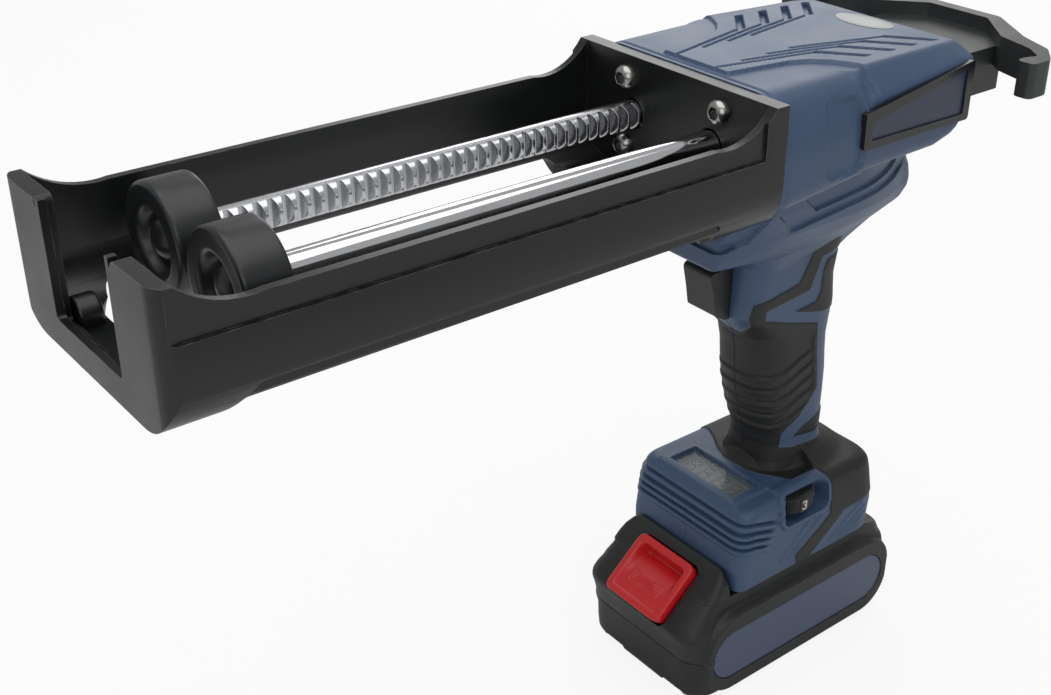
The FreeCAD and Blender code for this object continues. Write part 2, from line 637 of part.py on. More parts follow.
def make_yoke():
    """Pull yoke: tongue over the rod ends, raised wall round its back, and a finger hook each side."""
    front, rear, half = d.yoke_front, d.yoke_rear, d.yoke_half
    back = rear - 4
    wall = d.yoke_wall
    foot = d.yoke_top - d.yoke_wall_high
    outer = [(back, -d.yoke_rear_half), (back, d.yoke_rear_half), (rear + 13, half - 25),
             (rear + 20, half - 9),
             (rear + 31, half), (front - 4, half), (front - 4, half - wall - 2),
             (front - 9, half - wall - 2)]
    inner = [(rear + 31, half - wall), (rear + 25, half - 9 - wall + 1), (rear + 20, half - 25 - wall),
             (back + wall, d.yoke_rear_half - 2)]
    mirrored = [(x, -y) for x, y in reversed(outer[2:] + inner)]
    loop = outer[:2] + outer[2:] + inner + mirrored
    radii = [5] * 2 + [5, 5, 7, 2.5, 2.5, 1, 2, 2, 3, 3] + [3, 3, 2, 2, 1, 2.5, 2.5, 7, 5, 5]
    strip = prism(loop, radii, at_z(foot), V(0, 0, d.yoke_wall_high))
    tongue_top = d.rod_height + 11
    tongue_low = d.rod_height - 8
    tail = d.yoke_rear_half + 1
    tongue = [(rear, -tail), (rear + 10, -d.yoke_tongue), (front, -d.yoke_tongue),
              (front, d.yoke_tongue), (rear + 10, d.yoke_tongue), (rear, tail)]
    shape = strip.fuse(prism(tongue, [4, 3, 2, 2, 3, 4], at_z(tongue_low), V(0, 0, tongue_top - tongue_low)))
    seat = rear + 6
    bores = []
    for side in (-1, 1):
        y = rod_y(side)
        bores.append(rod(d.rod_diameter / 2 + d.seat_gap, (d.rod_rear, y, d.rod_height),
                         front - d.rod_rear + 1, X_AXIS))
        bores.append(rod(d.screw_shank / 2 + d.screw_gap, (back - 9, y, d.rod_height),
                         d.rod_rear - back + 10, X_AXIS))
        bores.append(rod(5, (back - 9, y, d.rod_height), seat - back + 9, X_AXIS))
    feature("pull_yoke", shape.cut(bores).removeSplitter())
    screws = []
    for side in (-1, 1):
        head = rod(4.5, (seat - 4, rod_y(side), d.rod_height), 4, X_AXIS)
        shank = rod(d.screw_shank / 2, (seat, rod_y(side), d.rod_height), d.rod_rear - seat + 8, X_AXIS)
        screws.append(head.fuse(shank))
    feature("yoke_screws", Part.makeCompound(screws))


def body_ring(x, half, low, top, share, drop, inset, r_low, r_top):
    """Section of the upper body: flat top, shoulders sloped down by the drop, upright sides."""
    shoulder = top - drop
    top_half = half * share
    half, low, top, top_half = half - inset, low + inset, top - inset, top_half - inset / 2
    corners = [(-half, low), (half, low), (half, shoulder), (top_half, top), (-top_half, top),
               (-half, shoulder)]
    lower, upper = max(r_low - inset, 1), max(r_top - inset, 1)
    return outline(corners, [lower, lower, upper, upper, upper, upper], at_x(x))


def upper_body(inset):
    """Upper body from the cradle's back wall to the rear face, stepped in behind the front hood."""
    front, rear, step = d.cradle_rear, d.body_rear, d.body_step
    hood = front - d.hood_length
    top, low, half = d.body_top, d.body_low, d.body_half
    rear_half, rear_low = d.body_half_rear, d.body_low_rear
    rings = [
        body_ring(front - inset, half, low, top + 0.5, 0.76, 13, inset, 9, 9),
        body_ring(hood, half, low + 3, top + 0.5, 0.76, 13, inset, 9, 9),
        body_ring(hood - step, half - 2.5, low + 5, top, 0.82, 9.5, inset, 6, 4),
        body_ring(rear + 9, rear_half, rear_low, top - 1.5, 0.84, 5, inset, 5, 3),
        body_ring(rear + inset, rear_half - 3, rear_low + 8, top - 6, 0.8, 5, inset, 5, 3),
    ]
    return ruled(rings)


def belly(inset):
    """Boat-shaped motor belly between the upper body and the grip."""
    top = d.body_low_rear + 6
    low, half = d.belly_low, d.belly_half
    rings = [
        plan(top, d.belly_rear - 2 + inset, d.belly_front + 1.5 - inset, half + 6 - inset, 24 - inset,
             10 - inset),
        plan(d.button_height - 6, d.belly_rear + inset, d.belly_front - inset, half - 3 - inset,
             22 - inset, 10 - inset),
        plan(low + 12, d.belly_rear + 20 + inset, d.trigger_wall + 8 - inset, half - 8 - inset,
             17 - inset, 9 - inset),
        plan(low + inset, d.belly_rear + 27 + inset, d.trigger_wall - inset, half - 11 - inset,
             15 - inset, 8 - inset),
    ]
    return ruled(rings)


def grip_form(inset):
    """Pistol grip: rounded sections leaning back a little towards the foot."""
    half, deep = d.grip_half, d.grip_depth / 2
    top, low = d.belly_low + 10, d.foot_top - 14
    waist = (d.rubber_top + d.foot_top) / 2
    middle = (d.grip_top_x + d.grip_foot_x) / 2
    stations = [(top, d.trigger_wall - 29, 29, half + 3.5),
                (d.rubber_top + 8, d.trigger_wall - 29.5, 29.5, half + 2),
                (d.rubber_top - 6, d.grip_top_x, deep, half + 0.5),
                (waist, middle, deep - 0.5, half),
                (d.foot_top + 16, d.grip_foot_x, deep - 3.5, half - 1),
                (low, d.grip_foot_x, deep - 2.5, half)]
    rings = []
    for z, x, depth, wide in stations:
        round_off = wide - inset - 1.5
        rings.append(plan(z, x - depth + inset, x + depth - inset, wide - inset, round_off, round_off))
    return ruled(rings)


def foot_form(inset):
    """Foot of the handle, which sits on the battery."""
    low, top = d.foot_low + inset, d.foot_top - inset
    front, rear, half = d.foot_front - inset, d.foot_rear + inset, d.foot_half - inset
    rings = [
        plan(low, rear - 2, front - 3, half, 9, 7),
        plan(low + 0.45 * (top - low), rear - 3, front + 1, half + 0.6, 10, 8),
        plan(top - 6, rear + 1, front, half - 1.5, 10, 8),
        plan(top, rear + 8, front - 1.5, half - 6, 9, 7),
    ]
    return ruled(rings)


def housing_form(inset):
    """Whole housing as one closed form, set in by a wall where asked."""
    return upper_body(inset).fuse([belly(inset), grip_form(inset), foot_form(inset)])


def rubber_zone():
    """Space that the rubber takes up: round the grip, and over the back of the foot."""
    wide = d.body_half + 10
    round_grip = block((-100, -wide, d.foot_top + 2), (100, wide, d.rubber_top))
    collar = block((-100, -wide, d.collar_low), (d.collar_front, wide, d.foot_top + 2))
    return round_grip.fuse(collar)


def boss_places():
    """Places (x, z) of the screw bosses that join the halves."""
    rear = d.body_rear + 12
    return [(rear, d.rod_height + 14), (rear, d.rod_height - 14), (d.case_rear - 8, d.body_top - 11),
            (d.belly_rear + 28, d.belly_low + 6), (d.grip_foot_x + 6, d.foot_top + 20),
            (d.grip_top_x - 14, d.rubber_top - 8)]


def housing_cuts():
    """Openings through the shell: rods, screws, trigger, button, display, dial, rails, vents."""
    cuts = []
    rear = d.body_rear
    for side in (-1, 1):
        hole = d.rod_diameter / 2 + d.hole_clearance
        cuts.append(rod(hole, (rear - 5, rod_y(side), d.rod_height), 20, X_AXIS))
        cuts.append(rod(hole, (d.case_front - 4, rod_y(side), d.rod_height), 10, X_AXIS))
        for i in range(4):
            x, wide = d.case_rear - 8 - i * d.vent_pitch, d.vent_width
            inner, outer = side * d.vent_inner, side * (d.vent_inner + d.vent_length)
            slot = [(x, inner), (x - wide, inner), (x - d.vent_slant - wide, outer),
                    (x - d.vent_slant, outer)]
            cuts.append(prism(slot, 0.6, at_z(d.body_top - d.vent_depth), V(0, 0, d.vent_depth + 5)))
    for y, z in each_cradle_screw():
        cuts.append(rod(d.screw_shank / 2 + d.screw_gap, (d.case_front - 1, y, z), d.shell + 2, X_AXIS))
    gap, half = d.slide_gap, d.trigger_width / 2 + d.slide_gap
    high = d.trigger_low + d.trigger_high
    cuts.append(block((d.trigger_rear - 2, -half, d.trigger_low - gap),
                      (d.trigger_front + 2, half, high + gap)))
    half = d.button_width / 2 + gap
    tall = d.button_high / 2 + gap
    cuts.append(block((d.belly_rear - 6, -half, d.button_height - tall),
                      (d.belly_rear + 9, half, d.button_height + tall)))
    cuts.append(block((d.lens_front - d.lens_wide - gap, -d.lens_long / 2 - gap, d.foot_top - d.shell - 3),
                      (d.lens_front + gap, d.lens_long / 2 + gap, d.foot_top + d.lens_thick)))
    dial_y = dial_centre_y()
    cuts.append(rod(d.dial_diameter / 2 + 0.6, (d.dial_x, dial_y, d.dial_height - d.dial_thick / 2 - gap),
                    d.dial_thick + 2 * gap, Z_AXIS))
    rails = d.rail_half + d.rail_wide / 2 + 0.6
    cuts.append(block((d.foot_rear + 6, -rails, d.foot_low - 1),
                      (d.foot_front + 10, rails, d.foot_low + d.rail_high + 1)))
    return cuts


def dial_centre_y():
    """Middle of the speed dial, so that its rim stands proud of the foot's left side."""
    return d.foot_half + d.dial_proud - d.dial_diameter / 2


def board_posts():
    """Posts in the foot that carry the control board, on a shelf above the rails."""
    shelf = d.foot_low + d.rail_high + 1
    inner = d.foot_half - d.shell
    pieces = [block((d.foot_rear + 4, -inner, shelf), (d.foot_front - 5, inner, shelf + 2))]
    for x in (d.foot_rear + 14, d.foot_front - 12):
        for y in (-inner + 6, inner - 6):
            pieces.append(block((x - 3, y - 3, shelf), (x + 3, y + 3, d.board_height)))
    return pieces


def make_housing():
    """Two clamshell halves with bosses and posts, their rubber, and the screws that join them."""
    form, inside = housing_form(0), housing_form(d.shell)
    zone = rubber_zone()
    skin = form.common(zone).cut(housing_form(d.rubber))
    skin = skin.cut(housing_cuts())
    wide = d.body_half + 20
    bosses = []
    for x, z in boss_places():
        bosses.append(rod(d.boss_radius, (x, -wide, z), 2 * wide, Y_AXIS).common(form))
    bosses += [post.common(form) for post in board_posts()]
    shell = form.cut(inside).fuse(bosses).cut(skin)
    holes = [rod(1.5, (x, -wide, z), 2 * wide, Y_AXIS) for x, z in boss_places()]
    heads = [rod(3.2, (x, -wide, z), wide - 10, Y_AXIS) for x, z in boss_places()]
    block_gap = 0.3
    plug = block((-d.block_long / 2 - block_gap, -d.block_half - block_gap, d.foot_low - 1),
                 (d.block_long / 2 + block_gap, d.block_half + block_gap, d.board_height - 4))
    shell = shell.cut(housing_cuts() + holes + heads + [plug])
    skin = skin.cut(heads)
    for name, side in SIDES.items():
        low, high = sorted((0, side * wide))
        half_space = block((-FAR, low, -FAR), (FAR, high, FAR))
        feature(f"housing_{name}", shell.common(half_space))
        feature(f"grip_rubber_{name}", skin.common(half_space))
    screws = []
    for x, z in boss_places():
        shank = rod(1.45, (x, -10, z), 18, Y_AXIS)
        screws.append(shank.fuse(rod(3, (x, -13, z), 3, Y_AXIS)))
    feature("housing_screws", Part.makeCompound(screws))


def badge_slope(x):
    """Side of the housing at x: it narrows evenly from the step to the rear."""
    step = d.cradle_rear - d.hood_length - d.body_step
    share = (step - x) / (step - d.body_rear - 9)
    return d.body_half - 2.5 + share * (d.body_half_rear - d.body_half + 2.5)


def make_badges():
    """Wedge-shaped badge frame and bare plate on each side of the housing."""
    low = d.badge_height - d.badge_high / 2
    front, rear, rise = d.badge_front, d.badge_rear, d.badge_rise
    frame_line = [(front, low + 3), (rear, low), (rear, low + d.badge_high + 2),
                  (front, low + d.badge_high - rise)]
    rim = d.badge_border
    plate_line = [(front - rim, low + 3 + rim * 0.7), (rear + rim, low + rim * 0.7),
                  (rear + rim, low + d.badge_high - 1),
                  (front - rim, low + d.badge_high - rise - rim)]
    form = housing_form(0)
    for name, side in SIDES.items():
        lean = math.degrees(math.atan2(badge_slope(front) - badge_slope(rear), front - rear))
        start = V(front, side * badge_slope(front), 0)
        pieces = []
        for line, radius, inner, outer in ((frame_line, 1.5, -1.0, d.badge_proud),
                                           (plate_line, 1.0, 0.6, d.badge_proud - 0.8)):
            low_y, high_y = sorted((side * inner, side * outer))
            shape = prism([(x - front, z) for x, z in line], radius, at_y(low_y), V(0, high_y - low_y, 0))
            shape.rotate(V(0, 0, 0), Z_AXIS, side * lean)
            shape.translate(start)
            pieces.append(shape)
        frame, plate = pieces
        recess = prism([(x - front, z) for x, z in plate_line], 1.0, at_y(min(side * 0.6, side * 9)),
                       V(0, 8.4, 0))
        recess.rotate(V(0, 0, 0), Z_AXIS, side * lean)
        recess.translate(start)
        feature(f"badge_frame_{name}", frame.cut([form, recess]))
        feature(f"badge_plate_{name}", plate)


def case_cover():
    """Lid of the gear case: plate, plug that fills the pinion's bore, and a seat for the upper bearing."""
    x, y, high = d.pinion_x, d.pinion_y, d.case_high
    bore = d.pinion_radius + d.rack_addendum + d.cavity_gap
    plug_low = high - d.bearing_width - d.cover_web
    half = bore + 3
    plate = prism([(x - half, y - half), (x + half, y - half), (x + half, y + half),
                   (x - half, y + half)], 4,
                  at_z(high), V(0, 0, d.cover_plate))
    plug = rod(bore - 0.05, (x, y, plug_low), high - plug_low, Z_AXIS)
    seat = rod(d.bearing_outer / 2 + 0.01, (x, y, plug_low - 1), d.bearing_width + 1, Z_AXIS)
    room = rod(d.shaft_diameter / 2 + 1, (x, y, plug_low - 1), high - plug_low + 1, Z_AXIS)
    screw_holes = [rod(1.5, (sx, sy, high - 1), d.cover_plate + 2, Z_AXIS) for sx,
                   sy in cover_screw_places()]
    return plate.fuse(plug).cut([seat, room] + screw_holes), plug_low


def cover_screw_places():
    """Places (x, y) of the four screws in the case's cover."""
    half = d.pinion_radius + d.rack_addendum + d.cavity_gap + 0.7
    for dx in (-half, half):
        for dy in (-half, half):
            yield d.pinion_x + dx * 0.98, d.pinion_y + dy * 0.98


def make_case():
    """Gear case with rod channels, pinion bore and motor bracket, plus cover, bushes and bearings."""
    x, y, low, high = d.pinion_x, d.pinion_y, d.case_low, d.case_high
    bore = d.pinion_radius + d.rack_addendum + d.cavity_gap
    solid = block((d.case_rear, -d.case_half, low), (d.case_front, d.case_half, high))
    pinion_low = d.rod_height - d.pinion_width / 2
    ring_half = d.ring_outer / 2
    web = block((d.ring_front, y - ring_half, d.motor_height), (d.case_rear, y + ring_half, low + 4))
    disc = rod(ring_half, (d.ring_front, y, d.motor_height), d.case_rear - d.ring_front, X_AXIS)
    solid = solid.fuse([web, disc])
    cuts = [rod(bore, (x, y, pinion_low - 1.5), high, Z_AXIS),
            rod(d.shaft_diameter / 2 + 0.6, (x, y, low - 1), high, Z_AXIS),
            rod(d.bearing_outer / 2 + 0.01, (x, y, low - 1), d.bearing_width + 1, Z_AXIS),
            rod(d.shaft_diameter / 2 + 1, (d.ring_front - 1, y, d.motor_height), 10, X_AXIS)]
    bushes = []
    for side in (-1, 1):
        foot = (d.case_rear - 5, rod_y(side), d.rod_height)
        cuts.append(rod(d.rod_diameter / 2 + 0.6, foot, d.case_length + 10, X_AXIS))
        for start in (d.case_rear, d.case_front - d.bush_length):
            seat = (start, rod_y(side), d.rod_height)
            cuts.append(rod(d.bush_outer / 2, seat, d.bush_length, X_AXIS))
            bush = rod(d.bush_outer / 2, seat, d.bush_length, X_AXIS)
            bushes.append(bush.cut(rod(d.rod_diameter / 2 + d.rod_clearance, seat, d.bush_length, X_AXIS)))
    for sy, sz in each_cradle_screw():
        cuts.append(rod(d.screw_shank / 2, (d.cradle_back - d.screw_length, sy, sz), d.screw_length,
                        X_AXIS))
    cuts += [rod(1.25, (sx, sy, high - 9), 10, Z_AXIS) for sx, sy in cover_screw_places()]
    feature("gear_case", solid.cut(cuts))
    cover, plug_low = case_cover()
    feature("gear_case_cover", cover)
    screws = []
    for sx, sy in cover_screw_places():
        head = rod(2.4, (sx, sy, high + d.cover_plate), 2, Z_AXIS)
        screws.append(head.fuse(rod(1.25, (sx, sy, high - 8), d.cover_plate + 8, Z_AXIS)))
    feature("cover_screws", Part.makeCompound(screws))
    feature("rod_bushes", Part.makeCompound(bushes))
    ring = [("0", "shaft_diameter / 2 + thread_gap"), ("0", "bearing_outer / 2"),
            ("bearing_width", "bearing_outer / 2"),
            ("bearing_width", "shaft_diameter / 2 + thread_gap")]
    turned("lower_bearing", ring, ("pinion_x", "pinion_y", "case_low"), axis_x=False)
    turned("upper_bearing", ring, ("pinion_x", "pinion_y", "case_high - bearing_width - cover_web"),
           axis_x=False)


def make_drive():
    """Upright pinion shaft with rack pinion and bevel gear, and the bevel pinion on the carrier's shaft."""
    x, y, shaft = d.pinion_x, d.pinion_y, d.shaft_diameter / 2
    points = gear_points(int(d.pinion_teeth), d.rack_module, -math.pi / 2)
    teeth = extruded_gear(points, at_z(d.rod_height - d.pinion_width / 2), V(0, 0, d.pinion_width))
    teeth.translate(V(x, y, 0))
    feature("rack_pinion", teeth.cut(rod(shaft, (x, y, 0), FAR, Z_AXIS)))
    gear, back = bevel(int(d.bevel_teeth), int(d.bevel_pinion_teeth), math.pi)
    gear = gear.fuse(rod(shaft + 4, (0, 0, back), 4, Z_AXIS))
    gear.translate(V(x, y, d.motor_height))
    feature("bevel_gear", gear.cut(rod(shaft, (x, y, 0), FAR, Z_AXIS)))
    foot = "motor_height + bevel_pinion_radius - 2"
    bar = cylinder("pinion_shaft", "shaft_diameter / 2", f"case_high - cover_web - ({foot})",
                   ("pinion_x", "pinion_y", foot))
    node("pinion_shaft", bar)
    small, back = bevel(int(d.bevel_pinion_teeth), int(d.bevel_teeth), math.pi / int(d.bevel_pinion_teeth))
    small = small.fuse(rod(shaft - 1, (0, 0, back), 1, Z_AXIS))
    small.rotate(V(0, 0, 0), Y_AXIS, -90)
    small.translate(V(x, y, d.motor_height))
    behind = x - back - 1
    carrier_face = d.ring_front - 3.5
    stub = rod(shaft, (carrier_face, y, d.motor_height), behind - carrier_face, X_AXIS)
    feature("bevel_pinion", small)
    make_planets(stub, carrier_face)


def planet_centres():
    """Places (y, z) of the three planets round the motor's axis."""
    reach = d.sun_module * (d.sun_teeth + d.planet_teeth) / 2
    for i in range(3):
        turn = 2 * math.pi * i / 3
        yield turn, d.pinion_y + reach * math.cos(turn), d.motor_height + reach * math.sin(turn)


def make_planets(stub, face):
    """Carrier with its three pins, planets, ring gear, and the sun on the rotor's shaft."""
    y, z, module = d.pinion_y, d.motor_height, d.sun_module
    sun_teeth, planet_teeth = int(d.sun_teeth), int(d.planet_teeth)
    ring_teeth = sun_teeth + 2 * planet_teeth
    reach = module * (sun_teeth + planet_teeth) / 2
    plate = 3
    disc = rod(reach + 3.4, (face - plate, y, z), plate, X_AXIS)
    pins = [rod(1.5, (face - plate - d.planet_width - 0.6, py, pz), d.planet_width + 1, X_AXIS)
            for _, py, pz in planet_centres()]
    feature("planet_carrier", stub.fuse([disc] + pins))
    planet_x = face - plate - d.planet_width - 0.3
    for i, (turn, py, pz) in enumerate(planet_centres(), start=1):
        points = gear_points(planet_teeth, module, turn + math.pi / planet_teeth)
        shape = extruded_gear(points, at_x(planet_x), V(d.planet_width, 0, 0))
        shape.translate(V(0, py, pz))
        feature(f"planet_gear_{i}", shape.cut(rod(1.54, (planet_x - 1, py, pz), d.planet_width + 2, X_AXIS)))
    tube = rod(d.ring_outer / 2, (d.ring_rear, y, z), d.ring_length, X_AXIS)
    points = gear_points(ring_teeth, module, math.pi / ring_teeth, share=0.29, addendum=1.15, dedendum=0.8)
    teeth = extruded_gear(points, at_x(planet_x - 0.5), V(d.planet_width + 1, 0, 0))
    teeth.translate(V(0, y, z))
    room = module * ring_teeth / 2 + 1.4
    ahead = planet_x + d.planet_width
    clear = [teeth, rod(room, (ahead + 0.5, y, z), d.ring_front - 2.5 - ahead, X_AXIS),
             rod(d.shaft_diameter / 2 + d.rod_clearance, (d.ring_rear, y, z), d.ring_length + 1, X_AXIS)]
    clear.append(rod(room, (d.ring_rear - 1, y, z), planet_x - 0.5 - d.ring_rear + 1, X_AXIS))
    feature("ring_gear", tube.cut(clear))
    make_motor(planet_x)


def make_motor(planet_x):
    """Motor: drawn can, rotor with its shaft and sun gear, and rear end cap."""
    y, z, front, rear = d.pinion_y, d.motor_height, d.ring_rear, d.motor_rear
    half, wall, shaft = d.motor_diameter / 2, d.motor_wall, d.motor_shaft / 2
    sun = gear_points(int(d.sun_teeth), d.sun_module, 0)
    shape = extruded_gear(sun, at_x(planet_x), V(d.planet_width, 0, 0))
    shape.translate(V(0, y, z))
    feature("sun_gear", shape.cut(rod(shaft, (planet_x - 1, y, z), d.planet_width + 2, X_AXIS)))
    axle = rod(shaft, (rear + d.end_cap - 2, y, z), planet_x + d.planet_width - rear - d.end_cap + 2,
               X_AXIS)
    core = rod(half - wall - 3.5, (rear + d.end_cap + 6, y, z), d.motor_length - d.end_cap - 14, X_AXIS)
    feature("motor_rotor", axle.fuse(core))
    can = [("0", "motor_shaft / 2 + shaft_gap"), ("0", "motor_diameter / 2"),
           ("end_cap - motor_length", "motor_diameter / 2"),
           ("end_cap - motor_length", "motor_diameter / 2 - motor_wall"),
           ("-motor_wall", "motor_diameter / 2 - motor_wall"),
           ("-motor_wall", "motor_shaft / 2 + shaft_gap")]
    turned("motor_can", can, ("ring_rear", "pinion_y", "motor_height"))
    cap = [("0", "0"), ("0", "motor_diameter / 2"), ("end_cap", "motor_diameter / 2"),
           ("end_cap", "motor_shaft / 2 + shaft_gap"),
           ("end_cap - 2.05", "motor_shaft / 2 + shaft_gap"),
           ("end_cap - 2.05", "0")]
    turned("motor_end_cap", cap, ("motor_rear", "pinion_y", "motor_height"))


def make_trigger():
    """Trigger with a hollowed front and a bored back, its switch and its spring."""
    half, low, high = d.trigger_width / 2, d.trigger_low, d.trigger_low + d.trigger_high
    front, rear = d.trigger_front, d.trigger_rear
    line = [(rear, low), (front - 10, low), (front - 4, low + 3.5), (front - 2.6, (low + high) / 2),
            (front, high), (rear, high)]
    shape = prism(line, [0.5, 3, 2, 8, 2, 0.5], at_y(-half), V(0, 2 * half, 0))
    middle = (low + high) / 2
    pocket = rod(d.spring_radius + d.spring_room, (rear - 1, 0, middle), d.spring_pocket + 1, X_AXIS)
    feature("trigger", shape.cut(pocket))
    housing = box("switch_case", ("switch_length", "2 * switch_half", "trigger_high - 1"),
                  ("switch_front - switch_length", "-switch_half", "trigger_low"))
    bed = box("switch_bed", ("switch_length - 8", "2 * switch_half - 6", "4"),
              ("switch_front - switch_length + 4", "3 - switch_half", "trigger_low + trigger_high - 1"))
    node("trigger_switch", fuse("trigger_switch", housing, bed))
    length = rear + d.spring_pocket - d.switch_front
    coil("trigger_spring", V(d.switch_front, 0, middle), X_AXIS, length, 7)


def make_button():
    """Release button at the back of the belly, with its inner flange and spring."""
    half, tall, z = d.button_width / 2, d.button_high / 2, d.button_height
    wall_in = d.belly_rear + d.shell
    cap = prism([(-half, z - tall), (half, z - tall), (half, z + tall), (-half, z + tall)], 2,
                at_x(d.belly_rear - d.button_proud), V(wall_in + 1 - d.belly_rear + d.button_proud, 0, 0))
    stem = rod(d.spring_radius + 1, (wall_in, 0, z), d.button_stem, X_AXIS)
    feature("release_button", cap.fuse(stem))
    length = d.motor_rear - wall_in - d.button_stem
    coil("release_spring", V(d.motor_rear, 0, z), V(-1, 0, 0), length, 6)


def make_electronics():
    """Control board, display, dial with its potentiometer, and the battery terminal block."""
    board = new_body("control_board")
    inner = "foot_half - shell - 2"
    corners = [("foot_rear + 8", f"-({inner})"), ("foot_front - 7", f"-({inner})"),
               ("foot_front - 7", inner),
               ("foot_rear + 8", inner)]
    pad(board, sketch(board, "XY_Plane", "board_outline", corners), "board_pad", "board_thick")
    place(board, ("0", "0", "board_height"))
    board_top = "board_height + board_thick"
    lens = box("display_lens", ("lens_wide", "lens_long", "lens_thick"),
               ("lens_front - lens_wide", "-lens_long / 2", "foot_top - lens_thick - 0.4"))
    node("display_lens", lens)
    module_high = f"foot_top - lens_thick - 0.4 - ({board_top})"
    module = box("display_module", ("lens_wide - 1", "lens_long - 1", module_high),
                 ("lens_front - lens_wide + 0.5", "-lens_long / 2 + 0.5", board_top))
    node("display_module", module)
    y = dial_centre_y()
    wheel = rod(d.dial_diameter / 2, (d.dial_x, y, d.dial_height - d.dial_thick / 2), d.dial_thick, Z_AXIS)
    wheel = wheel.makeFillet(0.8, [e for e in wheel.Edges if e.Curve.TypeId == "Part::GeomCircle"])
    count = 36
    grooves = []
    for i in range(count):
        turn = 2 * math.pi * i / count
        spot = (d.dial_x + d.dial_diameter / 2 * math.cos(turn), y + d.dial_diameter / 2 * math.sin(turn),
                d.dial_height - d.dial_thick)
        grooves.append(rod(0.55, spot, 2 * d.dial_thick, Z_AXIS))
    wheel = wheel.cut(grooves + [rod(2.04, (d.dial_x, y, 0), d.dial_height + 1, Z_AXIS)])
    feature("speed_dial", wheel)
    low = d.board_height + d.board_thick
    top = d.dial_height - d.dial_thick / 2 - 0.3
    pot = rod(7, (d.dial_x, y, low), top - low,
              Z_AXIS).fuse(rod(2, (d.dial_x, y, low), d.dial_height + 0.8 - low, Z_AXIS))
    feature("dial_pot", pot)
    base = box("terminal_base", ("block_long", "2 * block_half", "block_high"),
               ("-block_long / 2", "-block_half", "foot_low + rail_high + 1.2"))
    node("terminal_block", base)
    half, root = d.blade_long / 2, d.foot_low + d.rail_high + 1.2
    blades = [block((-half, y - 0.4, d.pack_high - d.blade_reach),
                    (half, y + 0.4, root)) for y in blade_places()]
    feature("terminal_blades", Part.makeCompound(blades))


def blade_places():
    """Places across the tool of the three contact blades."""
    return (-d.blade_pitch, 0, d.blade_pitch)


def pack_form(inset):
    """Battery outside: waisted block, rounded flanks and a sloping nose for the latch."""
    half, high = d.pack_width / 2 - d.pack_inset, d.pack_high
    base, long = d.pack_base / 2, d.pack_length / 2
    rings = [
        plan(inset, -base + inset, base - 1 - inset, half - inset, 8, 8),
        plan(14, -long + inset, long - 3 - inset, half - inset, 9, 10),
        plan(0.7 * high, -long + inset, long + 4 - inset, half - inset, 9, 12),
        plan(high - inset, -long + 2 + inset, long - 4 - inset, half - 3 - inset, 9, 10),
    ]
    flank = d.pack_width / 2 - inset
    low, top = d.flank_low + inset, d.flank_high - inset
    bar = prism([(-long + inset, low), (long - 4 - inset, low), (long - 4 - inset, top),
                 (-long + inset, top)],
                (top - low) / 2 - 0.2, at_y(-flank), V(0, 2 * flank, 0))
    nose = nose_line(inset)
    hump = prism(nose, [0, 0, 3, 5, 4], at_y(-half + 4 + inset), V(0, 2 * (half - 4 - inset), 0))
    return ruled(rings).fuse([bar, hump])


def nose_line(inset):
    """Side line of the battery's nose: upright back, short flat top, long slope down to the front."""
    rear, top = d.nose_rear + inset, d.nose_top - inset
    toe = d.pack_length / 2 + 6 - inset
    return [(rear, 0.75 * d.pack_high), (toe - 8, 0.65 * d.pack_high), (toe, 0.8 * d.pack_high - inset),
            (rear + d.nose_flat, top), (rear, top)]


def latch_frame():
    """Middle of the latch on the nose's slope, and the slope's directions down and outwards."""
    line = nose_line(0)
    toe, brow = V(line[2][0], 0, line[2][1]), V(line[3][0], 0, line[3][1])
    down = (toe - brow).normalize()
    out = V(-down.z, 0, down.x)
    return (toe + brow) * 0.5 + down * 0.5, down, out


def latch_block(width, length, outside, inside):
    """Box lying on the nose's slope, from outside above it to inside below it."""
    middle, down, out = latch_frame()
    corners = []
    for along, deep in ((-length / 2, outside), (length / 2, outside), (length / 2, -inside),
                        (-length / 2, -inside)):
        corners.append(middle + down * along + out * deep)
    face = Part.Face(Part.makePolygon([V(p.x, -width / 2, p.z) for p in corners + corners[:1]]))
    return face.extrude(V(0, width, 0))


def make_latch():
    """Red latch with a finger pocket, and its spring in the nose."""
    middle, down, out = latch_frame()
    body = latch_block(d.latch_width, d.latch_length, 0.8, d.latch_thick)
    upright = [edge for edge in body.Edges
               if abs((edge.Vertexes[0].Point - edge.Vertexes[1].Point).dot(out)) > d.latch_thick]
    body = body.makeFillet(4, upright)
    wide, long, deep = d.latch_width / 2 - 4, d.latch_length / 2 - 4, 5.5
    rings = []
    for shrink, level in ((0, 1.0), (4.5, -deep)):
        corners = []
        for y, along in ((-wide, -long), (wide, -long), (wide, long), (-wide, long)):
            y = y - math.copysign(shrink * 0.5, y)
            along = along - math.copysign(shrink, along)
            corners.append(middle + down * along + out * level + V(0, y, 0))
        rings.append(Part.makePolygon(corners + corners[:1]))
    spring_seat = d.latch_thick + d.latch_travel + 1
    foot = middle - out * spring_seat
    length = spring_seat - deep - 1.5
    pocket = rod(d.spring_radius + d.spring_room, foot, length, out)
    feature("battery_latch", body.cut([ruled(rings), pocket]))
    coil("latch_spring", foot, out, length, 3)


